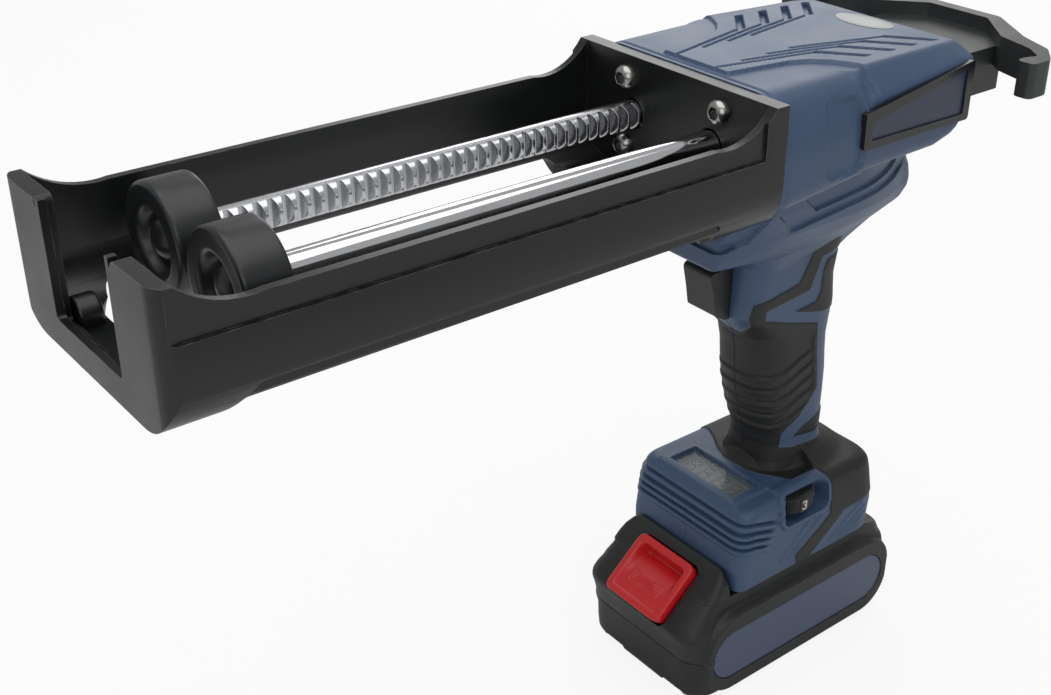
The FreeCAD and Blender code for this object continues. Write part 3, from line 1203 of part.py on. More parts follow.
def make_battery():
    """Battery: two case halves, cells, board, contacts, side labels and screws."""
    form, inside = pack_form(0), pack_form(d.pack_wall)
    pocket = latch_block(d.latch_width + 0.7, d.latch_length + 0.7, 30, d.latch_thick + d.latch_travel + 1)
    cup = latch_block(d.latch_width + 5, d.latch_length + 5, 0,
                      d.latch_thick + d.latch_travel + 3).common(form)
    rails = []
    for side in (-1, 1):
        y = side * d.rail_half
        rails.append(block((d.foot_rear + 8, y - d.rail_wide / 2, d.pack_high - d.pack_wall),
                           (d.nose_rear, y + d.rail_wide / 2, d.pack_high + d.rail_high)))
    labels = label_plates()
    deep = d.pack_high - d.blade_reach - 0.5
    slots = [block((-d.pack_length, y - 1.2, deep),
                   (d.blade_long / 2 + 2, y + 1.2, d.pack_high + 1)) for y in blade_places()]
    shell = form.cut(inside).fuse([cup] + rails).cut([pocket] + slots + list(labels.values()))
    feature("battery_case_lower", shell.common(block((-FAR, -FAR, -1), (FAR, FAR, d.pack_split))))
    feature("battery_case_upper", shell.common(block((-FAR, -FAR, d.pack_split), (FAR, FAR, FAR))))
    for name, plate in labels.items():
        feature(f"battery_label_{name}", plate)
    radius = d.cell_diameter / 2
    floor = d.cell_low + radius
    cells = [rod(radius, ((i - 2) * d.cell_pitch - 4, -d.cell_length / 2, floor), d.cell_length,
                 Y_AXIS) for i in range(5)]
    feature("battery_cells", Part.makeCompound(cells))
    top = d.cell_low + d.cell_diameter
    board = new_body("battery_board")
    rear, front, side = "-pack_length / 2 + 16", "pack_length / 2 - 32", "pack_width / 2 - 11"
    corners = [(rear, f"-({side})"), (front, f"-({side})"), (front, side), (rear, side)]
    pad(board, sketch(board, "XY_Plane", "battery_board_outline", corners), "battery_board_pad",
        "board_thick")
    place(board, ("0", "0", "cell_low + cell_diameter"))
    contacts = []
    foot = top + d.board_thick
    for y in blade_places():
        clip = block((-8, y - 2.4, foot), (8, y + 2.4, d.pack_high - d.pack_wall - 0.4))
        contacts.append(clip.cut(block((-9, y - 0.7, foot + 2), (9, y + 0.7, d.pack_high))))
    feature("battery_contacts", Part.makeCompound(contacts))
    make_pack_screws()


def label_plates():
    """Bare stadium labels let into the battery's flanks."""
    edge, margin, long = d.pack_width / 2, d.label_margin, d.pack_length / 2
    low, top = d.flank_low + margin, d.flank_high - margin
    line = [(-long + margin, low), (long - 4 - margin, low), (long - 4 - margin, top),
            (-long + margin, top)]
    plates = {}
    for name, side in SIDES.items():
        start = min(side * edge, side * (edge - d.label_depth))
        plates[name] = prism(line, (top - low) / 2 - 0.2, at_y(start), V(0, d.label_depth, 0))
    return plates


def make_pack_screws():
    """Four countersunk screws up through the battery's underside."""
    screws = []
    for x in (-d.pack_base / 2 + 7, d.pack_base / 2 - 8):
        for y in (-d.pack_width / 2 + 9, d.pack_width / 2 - 9):
            screws.append(Part.makeCone(2.6, 1.4, 1.4,
                                        V(x, y, 0.4)).fuse(rod(1.4, (x, y, 0.4), d.cell_low - 1, Z_AXIS)))
    group = feature("battery_screws", Part.makeCompound(screws))
    posts = [rod(3.6, (s.BoundBox.Center.x, s.BoundBox.Center.y, d.pack_wall - 0.5),
                 d.cell_low - d.pack_wall + 0.2, Z_AXIS) for s in screws]
    lower = NODES["battery_case_lower"]
    lower.Shape = lower.Shape.fuse(posts).cut(group.Shape.Solids + [
        rod(2.6, (s.BoundBox.Center.x, s.BoundBox.Center.y, -1), 1.4, Z_AXIS) for s in screws])


def check_and_write():
    """Recompute, test every object and shape, then write one STEP file for each sub-part."""
    doc.recompute()
    for item in doc.Objects:
        bad = [state for state in item.State if state in ("Invalid", "Error")]
        if bad:
            raise RuntimeError(f"{item.Label}: {bad}")
    for label, item in NODES.items():
        if item.Shape.isNull() or not item.Shape.isValid() or not item.Shape.Solids:
            raise RuntimeError(f"{label}: bad shape")
    os.makedirs("parts", exist_ok=True)
    for label, item in NODES.items():
        item.Shape.exportStep(f"parts/{label}.step")
        bounds = item.Shape.BoundBox
        print(f"{label}: {len(item.Shape.Solids)} solids, {item.Shape.Volume / 1000:.1f} cm3,",
              f"{bounds.XLength:.1f} x {bounds.YLength:.1f} x {bounds.ZLength:.1f} mm")
    print(len(NODES), "sub-parts")


def main():
    """Build every sub-assembly in turn."""
    make_cradle()
    make_rods()
    make_yoke()
    make_housing()
    make_badges()
    make_case()
    make_drive()
    make_trigger()
    make_button()
    make_electronics()
    make_battery()
    make_latch()
    check_and_write()


main()
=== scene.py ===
"""Looks of a cordless caulking tool with two push rods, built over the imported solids.

Lengths are in millimetres unless a name or docstring says otherwise; meshes are in metres.
"""

import json
import logging
import math
from dataclasses import dataclass
from enum import Enum
from typing import Any, Sequence, Union

import bmesh
import bpy
import numpy as np
from mathutils import Matrix, Vector


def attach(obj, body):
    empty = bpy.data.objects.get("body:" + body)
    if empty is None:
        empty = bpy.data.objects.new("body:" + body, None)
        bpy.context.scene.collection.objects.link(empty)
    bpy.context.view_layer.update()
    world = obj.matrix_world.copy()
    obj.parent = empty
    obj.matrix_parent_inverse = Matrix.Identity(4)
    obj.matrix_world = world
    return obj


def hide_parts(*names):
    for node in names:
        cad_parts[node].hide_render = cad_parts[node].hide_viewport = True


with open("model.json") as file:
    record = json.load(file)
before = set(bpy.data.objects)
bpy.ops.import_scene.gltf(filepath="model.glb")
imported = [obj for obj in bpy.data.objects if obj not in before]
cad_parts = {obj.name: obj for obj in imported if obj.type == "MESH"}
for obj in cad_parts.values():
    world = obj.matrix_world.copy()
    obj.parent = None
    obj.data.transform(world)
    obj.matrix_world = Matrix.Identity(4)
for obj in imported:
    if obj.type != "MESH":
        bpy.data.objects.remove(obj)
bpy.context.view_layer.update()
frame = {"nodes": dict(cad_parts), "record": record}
LOG = logging.getLogger("caulking_tool")
MM = 0.001
EDGE_RADIUS = 0.0006
MERGE_DISTANCE = 0.00001
FLAT_ANGLE = 0.4
ROUNDED_ANGLE = 28
POINTS_AROUND = 120
END_ROOM, INNER_ROOM = 0.97, 0.48
CLOUD_PITCH, GRAIN_PITCH = 55, 2600
Array = np.ndarray
Colour = tuple[float, float, float]
Fed = Union[float, Sequence[float], "Shade", bpy.types.NodeSocket]


def linear(red: int, green: int, blue: int) -> Colour:
    """Linear colour of an 8-bit display colour.

    Args:
        red, green, blue: display values from 0 to 255.

    Returns:
        The same colour in linear light.
    """
    share = np.array([red, green, blue]) / 255
    low, high = share / 12.92, ((share + 0.055) / 1.055) ** 2.4
    return tuple(float(c) for c in np.where(share <= 0.04045, low, high))


class Shade:
    """One shader socket; arithmetic on it adds Math nodes to its sheet."""

    def __init__(self, sheet: "Sheet", socket: bpy.types.NodeSocket) -> None:
        """Keep the socket and the sheet that it is on."""
        self.sheet, self.socket = sheet, socket

    def math(self, operation: str, *values: Fed) -> "Shade":
        """Result of one Math node.

        Args:
            operation: the node's operation.
            values: its inputs in order.

        Returns:
            The node's output.
        """
        node = self.sheet.add("ShaderNodeMath", {"operation": operation}, dict(enumerate(values)))
        return Shade(self.sheet, node.outputs[0])

    def __add__(self, other: Fed) -> "Shade":
        """Sum."""
        return self.math("ADD", self, other)

    def __sub__(self, other: Fed) -> "Shade":
        """Difference."""
        return self.math("SUBTRACT", self, other)

    def __rsub__(self, other: Fed) -> "Shade":
        """Difference the other way round."""
        return self.math("SUBTRACT", other, self)

    def __mul__(self, other: Fed) -> "Shade":
        """Product."""
        return self.math("MULTIPLY", self, other)

    __radd__, __rmul__ = __add__, __mul__

    def rise(self, low: float, high: float) -> "Shade":
        """Smooth step from 0 at low to 1 at high."""
        node = self.sheet.add("ShaderNodeMapRange", {"interpolation_type": "SMOOTHSTEP"},
                              {"Value": self, "From Min": low, "From Max": high})
        return Shade(self.sheet, node.outputs[0])


class Sheet:
    """Node sheet of one material, with its Principled shader."""

    def __init__(self, name: str) -> None:
        """Start an empty material of this name."""
        self.material = bpy.data.materials.new(name)
        self.material.use_nodes = True
        self.tree = self.material.node_tree
        self.tree.nodes.clear()
        self.output = self.add("ShaderNodeOutputMaterial")
        self.shader = self.add("ShaderNodeBsdfPrincipled")
        self.feed(self.output.inputs["Surface"], self.shader.outputs[0])

    def add(self, kind: str, settings: dict[str, Any] | None = None,
            sockets: dict[Any, Fed] | None = None) -> bpy.types.Node:
        """Add a node: its settings first, then its sockets' values or links.

        Args:
            kind: the node's type.
            settings: attributes of the node.
            sockets: values, shades or sockets by input name or index.

        Returns:
            The node.
        """
        node = self.tree.nodes.new(kind)
        for key, value in (settings or {}).items():
            setattr(node, key, value)
        for key, value in (sockets or {}).items():
            self.feed(node.inputs[key], value)
        return node

    def feed(self, socket: bpy.types.NodeSocket, value: Fed) -> None:
        """Link a shade or socket to an input, or set the input's value."""
        source = value.socket if isinstance(value, Shade) else value
        if isinstance(source, bpy.types.NodeSocket):
            self.tree.links.new(source, socket)
        elif socket.type == "RGBA" and len(source) == 3:
            socket.default_value = (*source, 1)
        else:
            socket.default_value = source

    def place(self, stretch: Sequence[float] = (1, 1, 1)) -> bpy.types.NodeSocket:
        """Object coordinates, stretched along the axes."""
        coordinates = self.add("ShaderNodeTexCoord").outputs["Object"]
        return self.add("ShaderNodeMapping", None, {"Vector": coordinates, "Scale": stretch}).outputs[0]

    def noise(self, scale: float, detail: float = 3, stretch: Sequence[float] = (1, 1, 1)) -> Shade:
        """Noise on Object coordinates.

        Args:
            scale: noise features per metre.
            detail: octaves.
            stretch: factor on each axis.

        Returns:
            A value about 0.5.
        """
        node = self.add("ShaderNodeTexNoise", None,
                        {"Vector": self.place(stretch), "Scale": scale, "Detail": detail})
        return Shade(self, node.outputs[0])

    def reading(self, name: str) -> Shade:
        """Value that the mesh carries under this name at each point."""
        return Shade(self, self.add("ShaderNodeAttribute", {"attribute_name": name}).outputs["Fac"])

    def mix(self, share: Fed, first: Fed, second: Fed) -> bpy.types.NodeSocket:
        """Mix of two colours.

        Args:
            share: 0 gives the first colour and 1 the second.
            first, second: colours or sockets.

        Returns:
            The mixed colour's socket.
        """
        node = self.add("ShaderNodeMix", {"data_type": "RGBA"}, {0: share, 6: first, 7: second})
        return node.outputs[2]

    def tinted(self, share: Fed, colour: Colour, first: float, second: float) -> bpy.types.NodeSocket:
        """Mix of one colour at two strengths.

        Args:
            share: 0 gives the first strength and 1 the second.
            colour: the colour.
            first, second: factors on it.

        Returns:
            The mixed colour's socket.
        """
        return self.mix(share, [c * first for c in colour], [c * second for c in colour])

    def worn(self, amount: float) -> Shade:
        """Patches up to this amount on edges sharper than EDGE_RADIUS, and 0 on flats."""
        bevel = self.add("ShaderNodeBevel", {"samples": 4}, {"Radius": EDGE_RADIUS})
        flat = self.add("ShaderNodeNewGeometry").outputs["Normal"]
        node = self.add("ShaderNodeVectorMath", {"operation": "DOT_PRODUCT"}, {0: bevel.outputs[0], 1: flat})
        edge = (1 - Shade(self, node.outputs["Value"])).rise(0.01, 0.12)
        return edge * self.noise(240, 4).rise(0.35, 0.7) * amount

    def relief(self, height: Fed, depth: float) -> bpy.types.NodeSocket:
        """Normal bent by a height.

        Args:
            height: value from 0 to 1.
            depth: metres from 0 to 1.

        Returns:
            The normal's socket.
        """
        return self.add("ShaderNodeBump", None, {"Height": height, "Distance": depth}).outputs[0]

    def dress(self, **sockets: Fed) -> bpy.types.Material:
        """Feed the Principled shader by socket name, with _ for a space, and give the material."""
        for key, value in sockets.items():
            self.feed(self.shader.inputs[key.replace("_", " ")], value)
        return self.material


@dataclass(frozen=True)
class Moulded:
    """Moulded plastic: fine spark-eroded grain, faint clouds of gloss, paler rubbed edges."""

    name: str
    colour: Colour
    roughness: float
    grain: float = 0.00003
    pitch: float = GRAIN_PITCH
    wear: float = 0.5
    rubbed: Colour = (0.2, 0.2, 0.21)

    def material(self) -> bpy.types.Material:
        """Material of this plastic."""
        sheet = Sheet(self.name)
        cloud, fine = sheet.noise(CLOUD_PITCH, 4), sheet.noise(self.pitch, 3)
        base = sheet.mix(sheet.worn(self.wear), sheet.tinted(cloud * 0.5, self.colour, 0.9, 1.22), self.rubbed)
        rough = self.roughness + (cloud - 0.5) * 0.16 + (fine - 0.5) * 0.08
        return sheet.dress(Base_Color=base, Roughness=rough, Normal=sheet.relief(fine, self.grain))


@dataclass(frozen=True)
class TwoShot:
    """Blue plastic with soft black overmould where the mesh's "rubber" reading is above 0."""

    name: str
    plastic: Colour
    rubber: Colour

    def material(self) -> bpy.types.Material:
        """Material of both shots."""
        sheet = Sheet(self.name)
        soft = sheet.reading("rubber").rise(-0.06, 0.06)
        cloud, fine, skin = sheet.noise(CLOUD_PITCH, 4), sheet.noise(GRAIN_PITCH, 3), sheet.noise(2 * GRAIN_PITCH, 2)
        hard = sheet.tinted(cloud * 0.5, self.plastic, 0.9, 1.22)
        hard = sheet.mix(sheet.worn(0.3), hard, [c * 2.2 for c in self.plastic])
        black = sheet.tinted(cloud, self.rubber, 0.8, 1.35)
        rough = 0.46 + (cloud - 0.5) * 0.16 + soft * 0.1
        height = fine * (1 - soft) + skin * soft
        return sheet.dress(Base_Color=sheet.mix(soft, hard, black), Roughness=rough,
                           Normal=sheet.relief(height, 0.00003))


@dataclass(frozen=True)
class Printed:
    """Moulded plastic with figures printed where the mesh's "ink" reading is above 0."""

    name: str
    colour: Colour
    ink: Colour
    roughness: float

    def material(self) -> bpy.types.Material:
        """Material of the plastic and its print."""
        sheet = Sheet(self.name)
        print_share = sheet.reading("ink").rise(0, 0.12)
        cloud, fine = sheet.noise(90, 4), sheet.noise(GRAIN_PITCH, 3)
        tint = sheet.tinted(cloud, self.colour, 0.85, 1.3)
        rough = self.roughness + (cloud - 0.5) * 0.14 - print_share * 0.08
        return sheet.dress(Base_Color=sheet.mix(print_share, tint, self.ink), Roughness=rough,
                           Normal=sheet.relief(fine, 0.00002))


@dataclass(frozen=True)
class Metal:
    """Metal with fine marks drawn out along one direction."""

    name: str
    colour: Colour
    roughness: float
    marks: tuple[float, float, float] = (0.04, 1, 1)
    pitch: float = 1500
    dirt: float = 0.2

    def material(self) -> bpy.types.Material:
        """Material of this metal."""
        sheet = Sheet(self.name)
        line, cloud = sheet.noise(self.pitch, 3, self.marks), sheet.noise(90, 4)
        film = cloud.rise(0.5, 0.8) * self.dirt
        base = sheet.tinted(film, self.colour, 1, 0.45)
        rough = self.roughness + (line - 0.5) * 0.1 + film * 0.3
        return sheet.dress(Base_Color=base, Metallic=1.0, Roughness=rough,
                           Normal=sheet.relief(line, 0.000008))


@dataclass(frozen=True)
class Clear:
    """Clear cover over a display: smooth, faintly smudged."""

    name: str
    colour: Colour
    alpha: float

    def material(self) -> bpy.types.Material:
        """Material of this cover."""
        sheet = Sheet(self.name)
        smudge = sheet.noise(160, 4).rise(0.45, 0.75)
        base = sheet.tinted(smudge * 0.4, self.colour, 1, 1.5)
        return sheet.dress(Base_Color=base, Roughness=0.06 + smudge * 0.1, Alpha=self.alpha)


BLUE = linear(58, 79, 108)


class Finish(Enum):
    """Finish of each of the record's material slots."""

    # CRADLE also gives the dark strips that paint the shade of the battery deck's slots.
    CRADLE = Moulded("cradle_black", linear(15, 17, 18), 0.34, 0.000014, 2200, 0.5)
    SCREW = Metal("screw_steel", (0.4, 0.39, 0.37), 0.24, (1, 1, 1), 900, 0.5)
    RACK = Metal("rod_steel", (0.6, 0.61, 0.63), 0.2)
    CHROME = Metal("rod_chrome", (0.74, 0.75, 0.77), 0.09)
    PLUNGER = Moulded("plunger_black", linear(30, 32, 34), 0.32, 0.00002, 1800, 0.2)
    YOKE = Moulded("yoke_black", linear(46, 48, 49), 0.44, 0.00003, 2200, 0.35)
    HOUSING = Moulded("housing_blue", BLUE, 0.44, 0.00003, 2600, 0.35, linear(132, 154, 184))
    RUBBER = TwoShot("grip_rubber", BLUE, linear(20, 21, 22))
    # BADGE also gives the black discs that paint the shade in the tray screws' hex sockets.
    BADGE = Moulded("badge_black", linear(22, 23, 25), 0.26, 0.000008, 2600, 0.3)
    PLATE = Moulded("badge_plate", linear(40, 50, 74), 0.36, 0.00001, 3000, 0.1)
    CAST = Metal("gear_case", (0.5, 0.5, 0.51), 0.5, (1, 1, 1), 700)
    BRONZE = Metal("bush_brass", (0.6, 0.42, 0.2), 0.35, (1, 1, 1))
    GEAR = Metal("gear_steel", (0.45, 0.45, 0.47), 0.3, (1, 0.1, 1))
    INNER = Moulded("inner_plastic", linear(48, 48, 50), 0.5)
    TRIGGER = Moulded("trigger_black", linear(20, 21, 22), 0.42, 0.00003, 2400, 0.4)
    SPRING = Metal("spring_steel", (0.5, 0.5, 0.52), 0.25, (1, 1, 1))
    BOARD = Moulded("board_green", (0.02, 0.12, 0.05), 0.35, 0.00001, 1200)
    LENS = Clear("display_lens", (0.2, 0.23, 0.25), 0.32)
    DISPLAY = Moulded("display_grey", linear(132, 137, 134), 0.35, 0.000004, 3000, 0.1)
    DIAL = Printed("dial_black", linear(26, 27, 28), linear(214, 216, 216), 0.42)
    CONTACT = Metal("contact_brass", (0.75, 0.58, 0.3), 0.25)
    BATTERY = Moulded("battery_black", linear(22, 24, 25), 0.48, 0.00004, 2300, 0.35)
    LABEL = Moulded("battery_label", linear(66, 78, 104), 0.34, 0.000006, 3000, 0.1)
    CELL = Metal("cell_can", (0.5, 0.52, 0.55), 0.3)
    LATCH = Moulded("latch_red", linear(196, 30, 34), 0.34, 0.000018, 2600, 0.25, linear(236, 110, 104))

    def material(self) -> bpy.types.Material:
        """This finish's material, made on first use."""
        name = "dressed_" + self.value.name
        if name not in bpy.data.materials:
            self.value.material().name = name
        return bpy.data.materials[name]


def finish_of(slot: str) -> Finish:
    """Finish whose slot has this name."""
    return next(finish for finish in Finish if finish.value.name == slot)


def smooth(low: float | Array, high: float | Array, value: Array) -> Array:
    """Smooth step from 0 at low to 1 at high, as 3t² - 2t³."""
    share = np.clip((value - low) / (high - low), 0, 1)
    return share * share * (3 - 2 * share)


def along(value: Array, *knots: tuple[float, float]) -> Array:
    """Value read off straight runs between knots given in rising order."""
    places, heights = zip(*knots)
    return np.interp(value, places, heights)


def trench(distance: Array, half: float, soft: float) -> Array:
    """1 within half of a line, falling to 0 over the soft width."""
    return 1 - smooth(half, half + soft, distance)


def line_distance(a: Array, b: Array, path: Sequence[tuple[float, float]]) -> Array:
    """Distance from points (a, b) to an open path: the least distance to its runs.

    Args:
        a, b: plane coordinates of the points.
        path: the path's corners.

    Returns:
        The distances, with the points' shape.
    """
    ends = np.asarray(path, float)
    start, run = ends[:-1], np.diff(ends, axis=0)
    from_a, from_b = a[..., None] - start[:, 0], b[..., None] - start[:, 1]
    share = np.clip((from_a * run[:, 0] + from_b * run[:, 1]) / (run ** 2).sum(1), 0, 1)
    return np.hypot(from_a - share * run[:, 0], from_b - share * run[:, 1]).min(-1)


def shape_distance(a: Array, b: Array, corners: Sequence[tuple[float, float]]) -> Array:
    """Signed distance from points (a, b) to a polygon, above 0 inside.

    The size is the distance to the outline; the sign counts how often a ray along +a crosses it.

    Args:
        a, b: plane coordinates of the points.
        corners: the polygon's corners in order.

    Returns:
        The signed distances, with the points' shape.
    """
    ends = np.asarray([*corners, corners[0]], float)
    low, high = ends[:-1], ends[1:]
    spans = (low[:, 1] > b[..., None]) != (high[:, 1] > b[..., None])
    rise = np.where(high[:, 1] == low[:, 1], 1e-9, high[:, 1] - low[:, 1])
    reach = low[:, 0] + (b[..., None] - low[:, 1]) / rise * (high[:, 0] - low[:, 0])
    inside = ((a[..., None] < reach) & spans).sum(-1) % 2 == 1
    return np.where(inside, 1, -1) * line_distance(a, b, ends)


def rounded_distance(a: Array, b: Array, middle: Sequence[float], half: Sequence[float], corner: float) -> Array:
    """Signed distance from points (a, b) to a rounded rectangle, above 0 inside.

    Args:
        a, b: plane coordinates of the points.
        middle, half: the rectangle's middle and half sides.
        corner: its corners' radius.

    Returns:
        The signed distances.
    """
    over_a, over_b = np.abs(a - middle[0]) - half[0] + corner, np.abs(b - middle[1]) - half[1] + corner
    outside = np.hypot(np.maximum(over_a, 0), np.maximum(over_b, 0))
    return corner - outside - np.minimum(np.maximum(over_a, over_b), 0)


def circle(count: int) -> Array:
    """Angles of evenly spaced points round a full turn."""
    return np.linspace(0, 2 * math.pi, count, endpoint=False)


def axes_of(rings: Array) -> tuple[Array, Array, Array]:
    """The points' x, y and z."""
    return rings[..., 0], rings[..., 1], rings[..., 2]


def oblong(rear: Array, half: Array, front: Array) -> Sequence[tuple[Any, Any]]:
    """Half plan with two corners: from the rear's middle along one side to the front's middle."""
    return (rear, 0), (rear, half), (front, half), (front, 0)


def rounded_runs(corners: Array, radii: Array, counts: Sequence[int], bend: int) -> Array:
    """Lines through rounded corners, one line a row: straight runs joined by quadratic curves.

    A corner's curve takes at most END_ROOM of an end run and INNER_ROOM of a run between corners.

    Args:
        corners: corners of each row's line, shape (rows, k, 2).
        radii: how far each corner's curve reaches along its runs, shape (rows, k); ends are sharp.
        counts: points on each straight run.
        bend: points on each corner.

    Returns:
        The lines' points, shape (rows, n, 2).
    """
    run = np.diff(corners, axis=1)
    length = np.linalg.norm(run, axis=2, keepdims=True)
    way = run / np.maximum(length, 1e-6)
    reach = np.zeros(corners.shape[:2] + (1,))
    room = length[..., 0] * np.array([END_ROOM, *[INNER_ROOM] * (len(counts) - 2), END_ROOM])
    reach[:, 1:-1, 0] = np.minimum(radii[:, 1:-1], np.minimum(room[:, :-1], room[:, 1:]))
    parts = []
    share = np.linspace(0, 1, bend, endpoint=False)[None, :, None]
    for k, count in enumerate(counts):
        leave = corners[:, k] + way[:, k] * reach[:, k]
        reached = corners[:, k + 1] - way[:, k] * reach[:, k + 1]
        step = np.linspace(0, 1, count, endpoint=False)[None, :, None]
        parts.append(leave[:, None] * (1 - step) + reached[:, None] * step)
        if k + 1 < len(counts):
            onward = corners[:, k + 1] + way[:, k + 1] * reach[:, k + 1]
            parts.append((1 - share) ** 2 * reached[:, None] + 2 * share * (1 - share) * corners[:, k + 1][:, None]
                         + share ** 2 * onward[:, None])
    return np.concatenate([*parts, corners[:, -1:]], axis=1)


def mirrored(half: Array) -> Array:
    """Closed loops from half loops: each half, then its image across the tool's middle the other way round."""
    other = half[:, -2:0:-1].copy()
    other[..., 1] *= -1
    return np.concatenate([half, other], axis=1)


def stacked(levels: Array, corners: Sequence[tuple[Any, Any]], rounds: Sequence[Any], counts: Sequence[int],
            bend: int) -> Array:
    """Closed plan outlines stacked over height.

    Args:
        levels: heights of the outlines.
        corners: (x, y) of each corner from the rear's middle to the front's middle, fixed or by level.
        rounds: how far each corner between the ends is rounded, fixed or by level.
        counts, bend: points on the straight runs and on a corner.

    Returns:
        Rings, shape (levels, n, 3).
    """
    even = np.ones_like(levels)
    places = np.stack([np.stack([x * even, y * even], 1) for x, y in corners], 1)
    radii = np.stack([0 * even, *[reach * even for reach in rounds], 0 * even], 1)
    plan = rounded_runs(places, radii, counts, bend)
    heights = np.broadcast_to(levels[:, None, None], plan.shape[:2] + (1,))
    return mirrored(np.concatenate([plan, heights], 2))


def outward(rings: Array) -> Array:
    """Unit normals of closed rings stacked along rows: cross product of both grid directions."""
    down = np.gradient(rings, axis=0)
    around = (np.roll(rings, -1, axis=1) - np.roll(rings, 1, axis=1)) / 2
    normal = np.cross(around, down)
    normal /= np.maximum(np.linalg.norm(normal, axis=2, keepdims=True), 1e-9)
    middle = rings.mean(axis=(0, 1))
    return normal * np.sign((normal * (rings - middle)).sum())


def settle(name: str, mesh: bpy.types.Mesh, finish: Finish, body: str, nodes: Sequence[str],
           crisp: float) -> bpy.types.Object:
    """Put a mesh in the scene with its finish, body and the nodes that it stands for.

    Args:
        name, mesh, finish, body, nodes, crisp: as for make_piece.

    Returns:
        The object.
    """
    mesh.polygons.foreach_set("use_smooth", np.ones(len(mesh.polygons), bool))
    mesh.set_sharp_from_angle(angle=math.radians(crisp))
    mesh.materials.clear()
    mesh.materials.append(finish.material())
    piece = bpy.data.objects.new(name, mesh)
    bpy.context.scene.collection.objects.link(piece)
    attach(piece, body)
    if nodes:
        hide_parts(*nodes)
    LOG.info("%s: %d faces", name, len(mesh.polygons))
    return piece


def make_piece(name: str, points: Array, faces: Sequence[Array], finish: Finish, body: str,
               nodes: Sequence[str] = (), crisp: float = 35) -> bpy.types.Object:
    """Make a mesh object that rides on a body.

    Args:
        name: the piece's name.
        points: corner places in millimetres, shape (n, 3).
        faces: arrays of corner numbers, one row a face; each array has one face size.
        finish: its finish.
        body: the body that it moves with.
        nodes: CAD nodes that it stands for.
        crisp: edges sharper than this angle in degrees stay sharp.

    Returns:
        The object.
    """
    mesh = bpy.data.meshes.new(name)
    totals = np.concatenate([np.full(len(part), part.shape[1]) for part in faces])
    loops = np.concatenate([part.ravel() for part in faces]).astype(np.int32)
    mesh.vertices.add(len(points))
    mesh.vertices.foreach_set("co", (np.asarray(points, float) * MM).ravel())
    mesh.loops.add(len(loops))
    mesh.loops.foreach_set("vertex_index", loops)
    mesh.polygons.add(len(totals))
    mesh.polygons.foreach_set("loop_start", (np.cumsum(totals) - totals).astype(np.int32))
    mesh.polygons.foreach_set("loop_total", totals.astype(np.int32))
    mesh.update(calc_edges=True)
    mesh.validate()
    return settle(name, mesh, finish, body, nodes, crisp)


def ring_faces(rows: int, columns: int) -> Array:
    """Quads between neighbouring points of closed rings numbered ring by ring.

    Args:
        rows, columns: how many rings, and points on each.

    Returns:
        Corner numbers, shape (n, 4).
    """
    row, column = np.meshgrid(np.arange(rows - 1), np.arange(columns), indexing="ij")
    here, right = row * columns + column, row * columns + (column + 1) % columns
    return np.stack((here, right, right + columns, here + columns), -1).reshape(-1, 4)


def closed_skin(name: str, rings: Array, finish: Finish, body: str, nodes: Sequence[str] = (),
                crisp: float = 40, readings: dict[str, Array] | None = None) -> bpy.types.Object:
    """Closed piece from stacked rings, its two ends closed by fans.

    Args:
        name, finish, body, nodes, crisp: as for make_piece.
        rings: points, shape (rows, columns, 3).
        readings: values to keep at each ring point, by name.

    Returns:
        The object.
    """
    rows, columns = rings.shape[:2]
    points = np.concatenate([rings.reshape(-1, 3), rings[:1].mean(1), rings[-1:].mean(1)])
    column = np.arange(columns)
    after, last, count = (column + 1) % columns, (rows - 1) * columns, rows * columns
    first_fan = np.stack([after, column, np.full(columns, count)], 1)
    last_fan = np.stack([last + column, last + after, np.full(columns, count + 1)], 1)
    piece = make_piece(name, points, [ring_faces(rows, columns), np.concatenate([first_fan, last_fan])],
                       finish, body, nodes, crisp)
    for label, values in (readings or {}).items():
        store = piece.data.attributes.new(label, "FLOAT", "POINT")
        ends = [values[0].mean(), values[-1].mean()]
        store.data.foreach_set("value", np.concatenate([values.ravel(), ends]).astype(np.float32))
    work = bmesh.new()
    work.from_mesh(piece.data)
    bmesh.ops.recalc_face_normals(work, faces=work.faces)
    work.to_mesh(piece.data)
    work.free()
    piece.data.set_sharp_from_angle(angle=math.radians(crisp))
    return piece


def turned(name: str, corners: Sequence[tuple[float, float]], rounds: Sequence[float], centre: Sequence[float],
           finish: Finish, body: str, nodes: Sequence[str] = ()) -> bpy.types.Object:
    """Turned piece about a line along the tool.

    Args:
        name, finish, body, nodes: as for make_piece.
        corners: profile of (place along the tool, radius) from end to end.
        rounds: how far each corner between the ends is rounded.
        centre: the line's (y, z).

    Returns:
        The object.
    """
    radii = np.array([[0, *rounds, 0]], float)
    profile = rounded_runs(np.array([corners], float), radii, [8] * (len(corners) - 1), 6)[0]
    turn = circle(POINTS_AROUND)[None]
    place, radius = profile[:, :1], profile[:, 1:]
    rings = np.stack([np.broadcast_to(place, (len(profile), POINTS_AROUND)), centre[0] + radius * np.cos(turn),
                      centre[1] + radius * np.sin(turn)], -1)
    return closed_skin(name, rings, finish, body, nodes, 40)


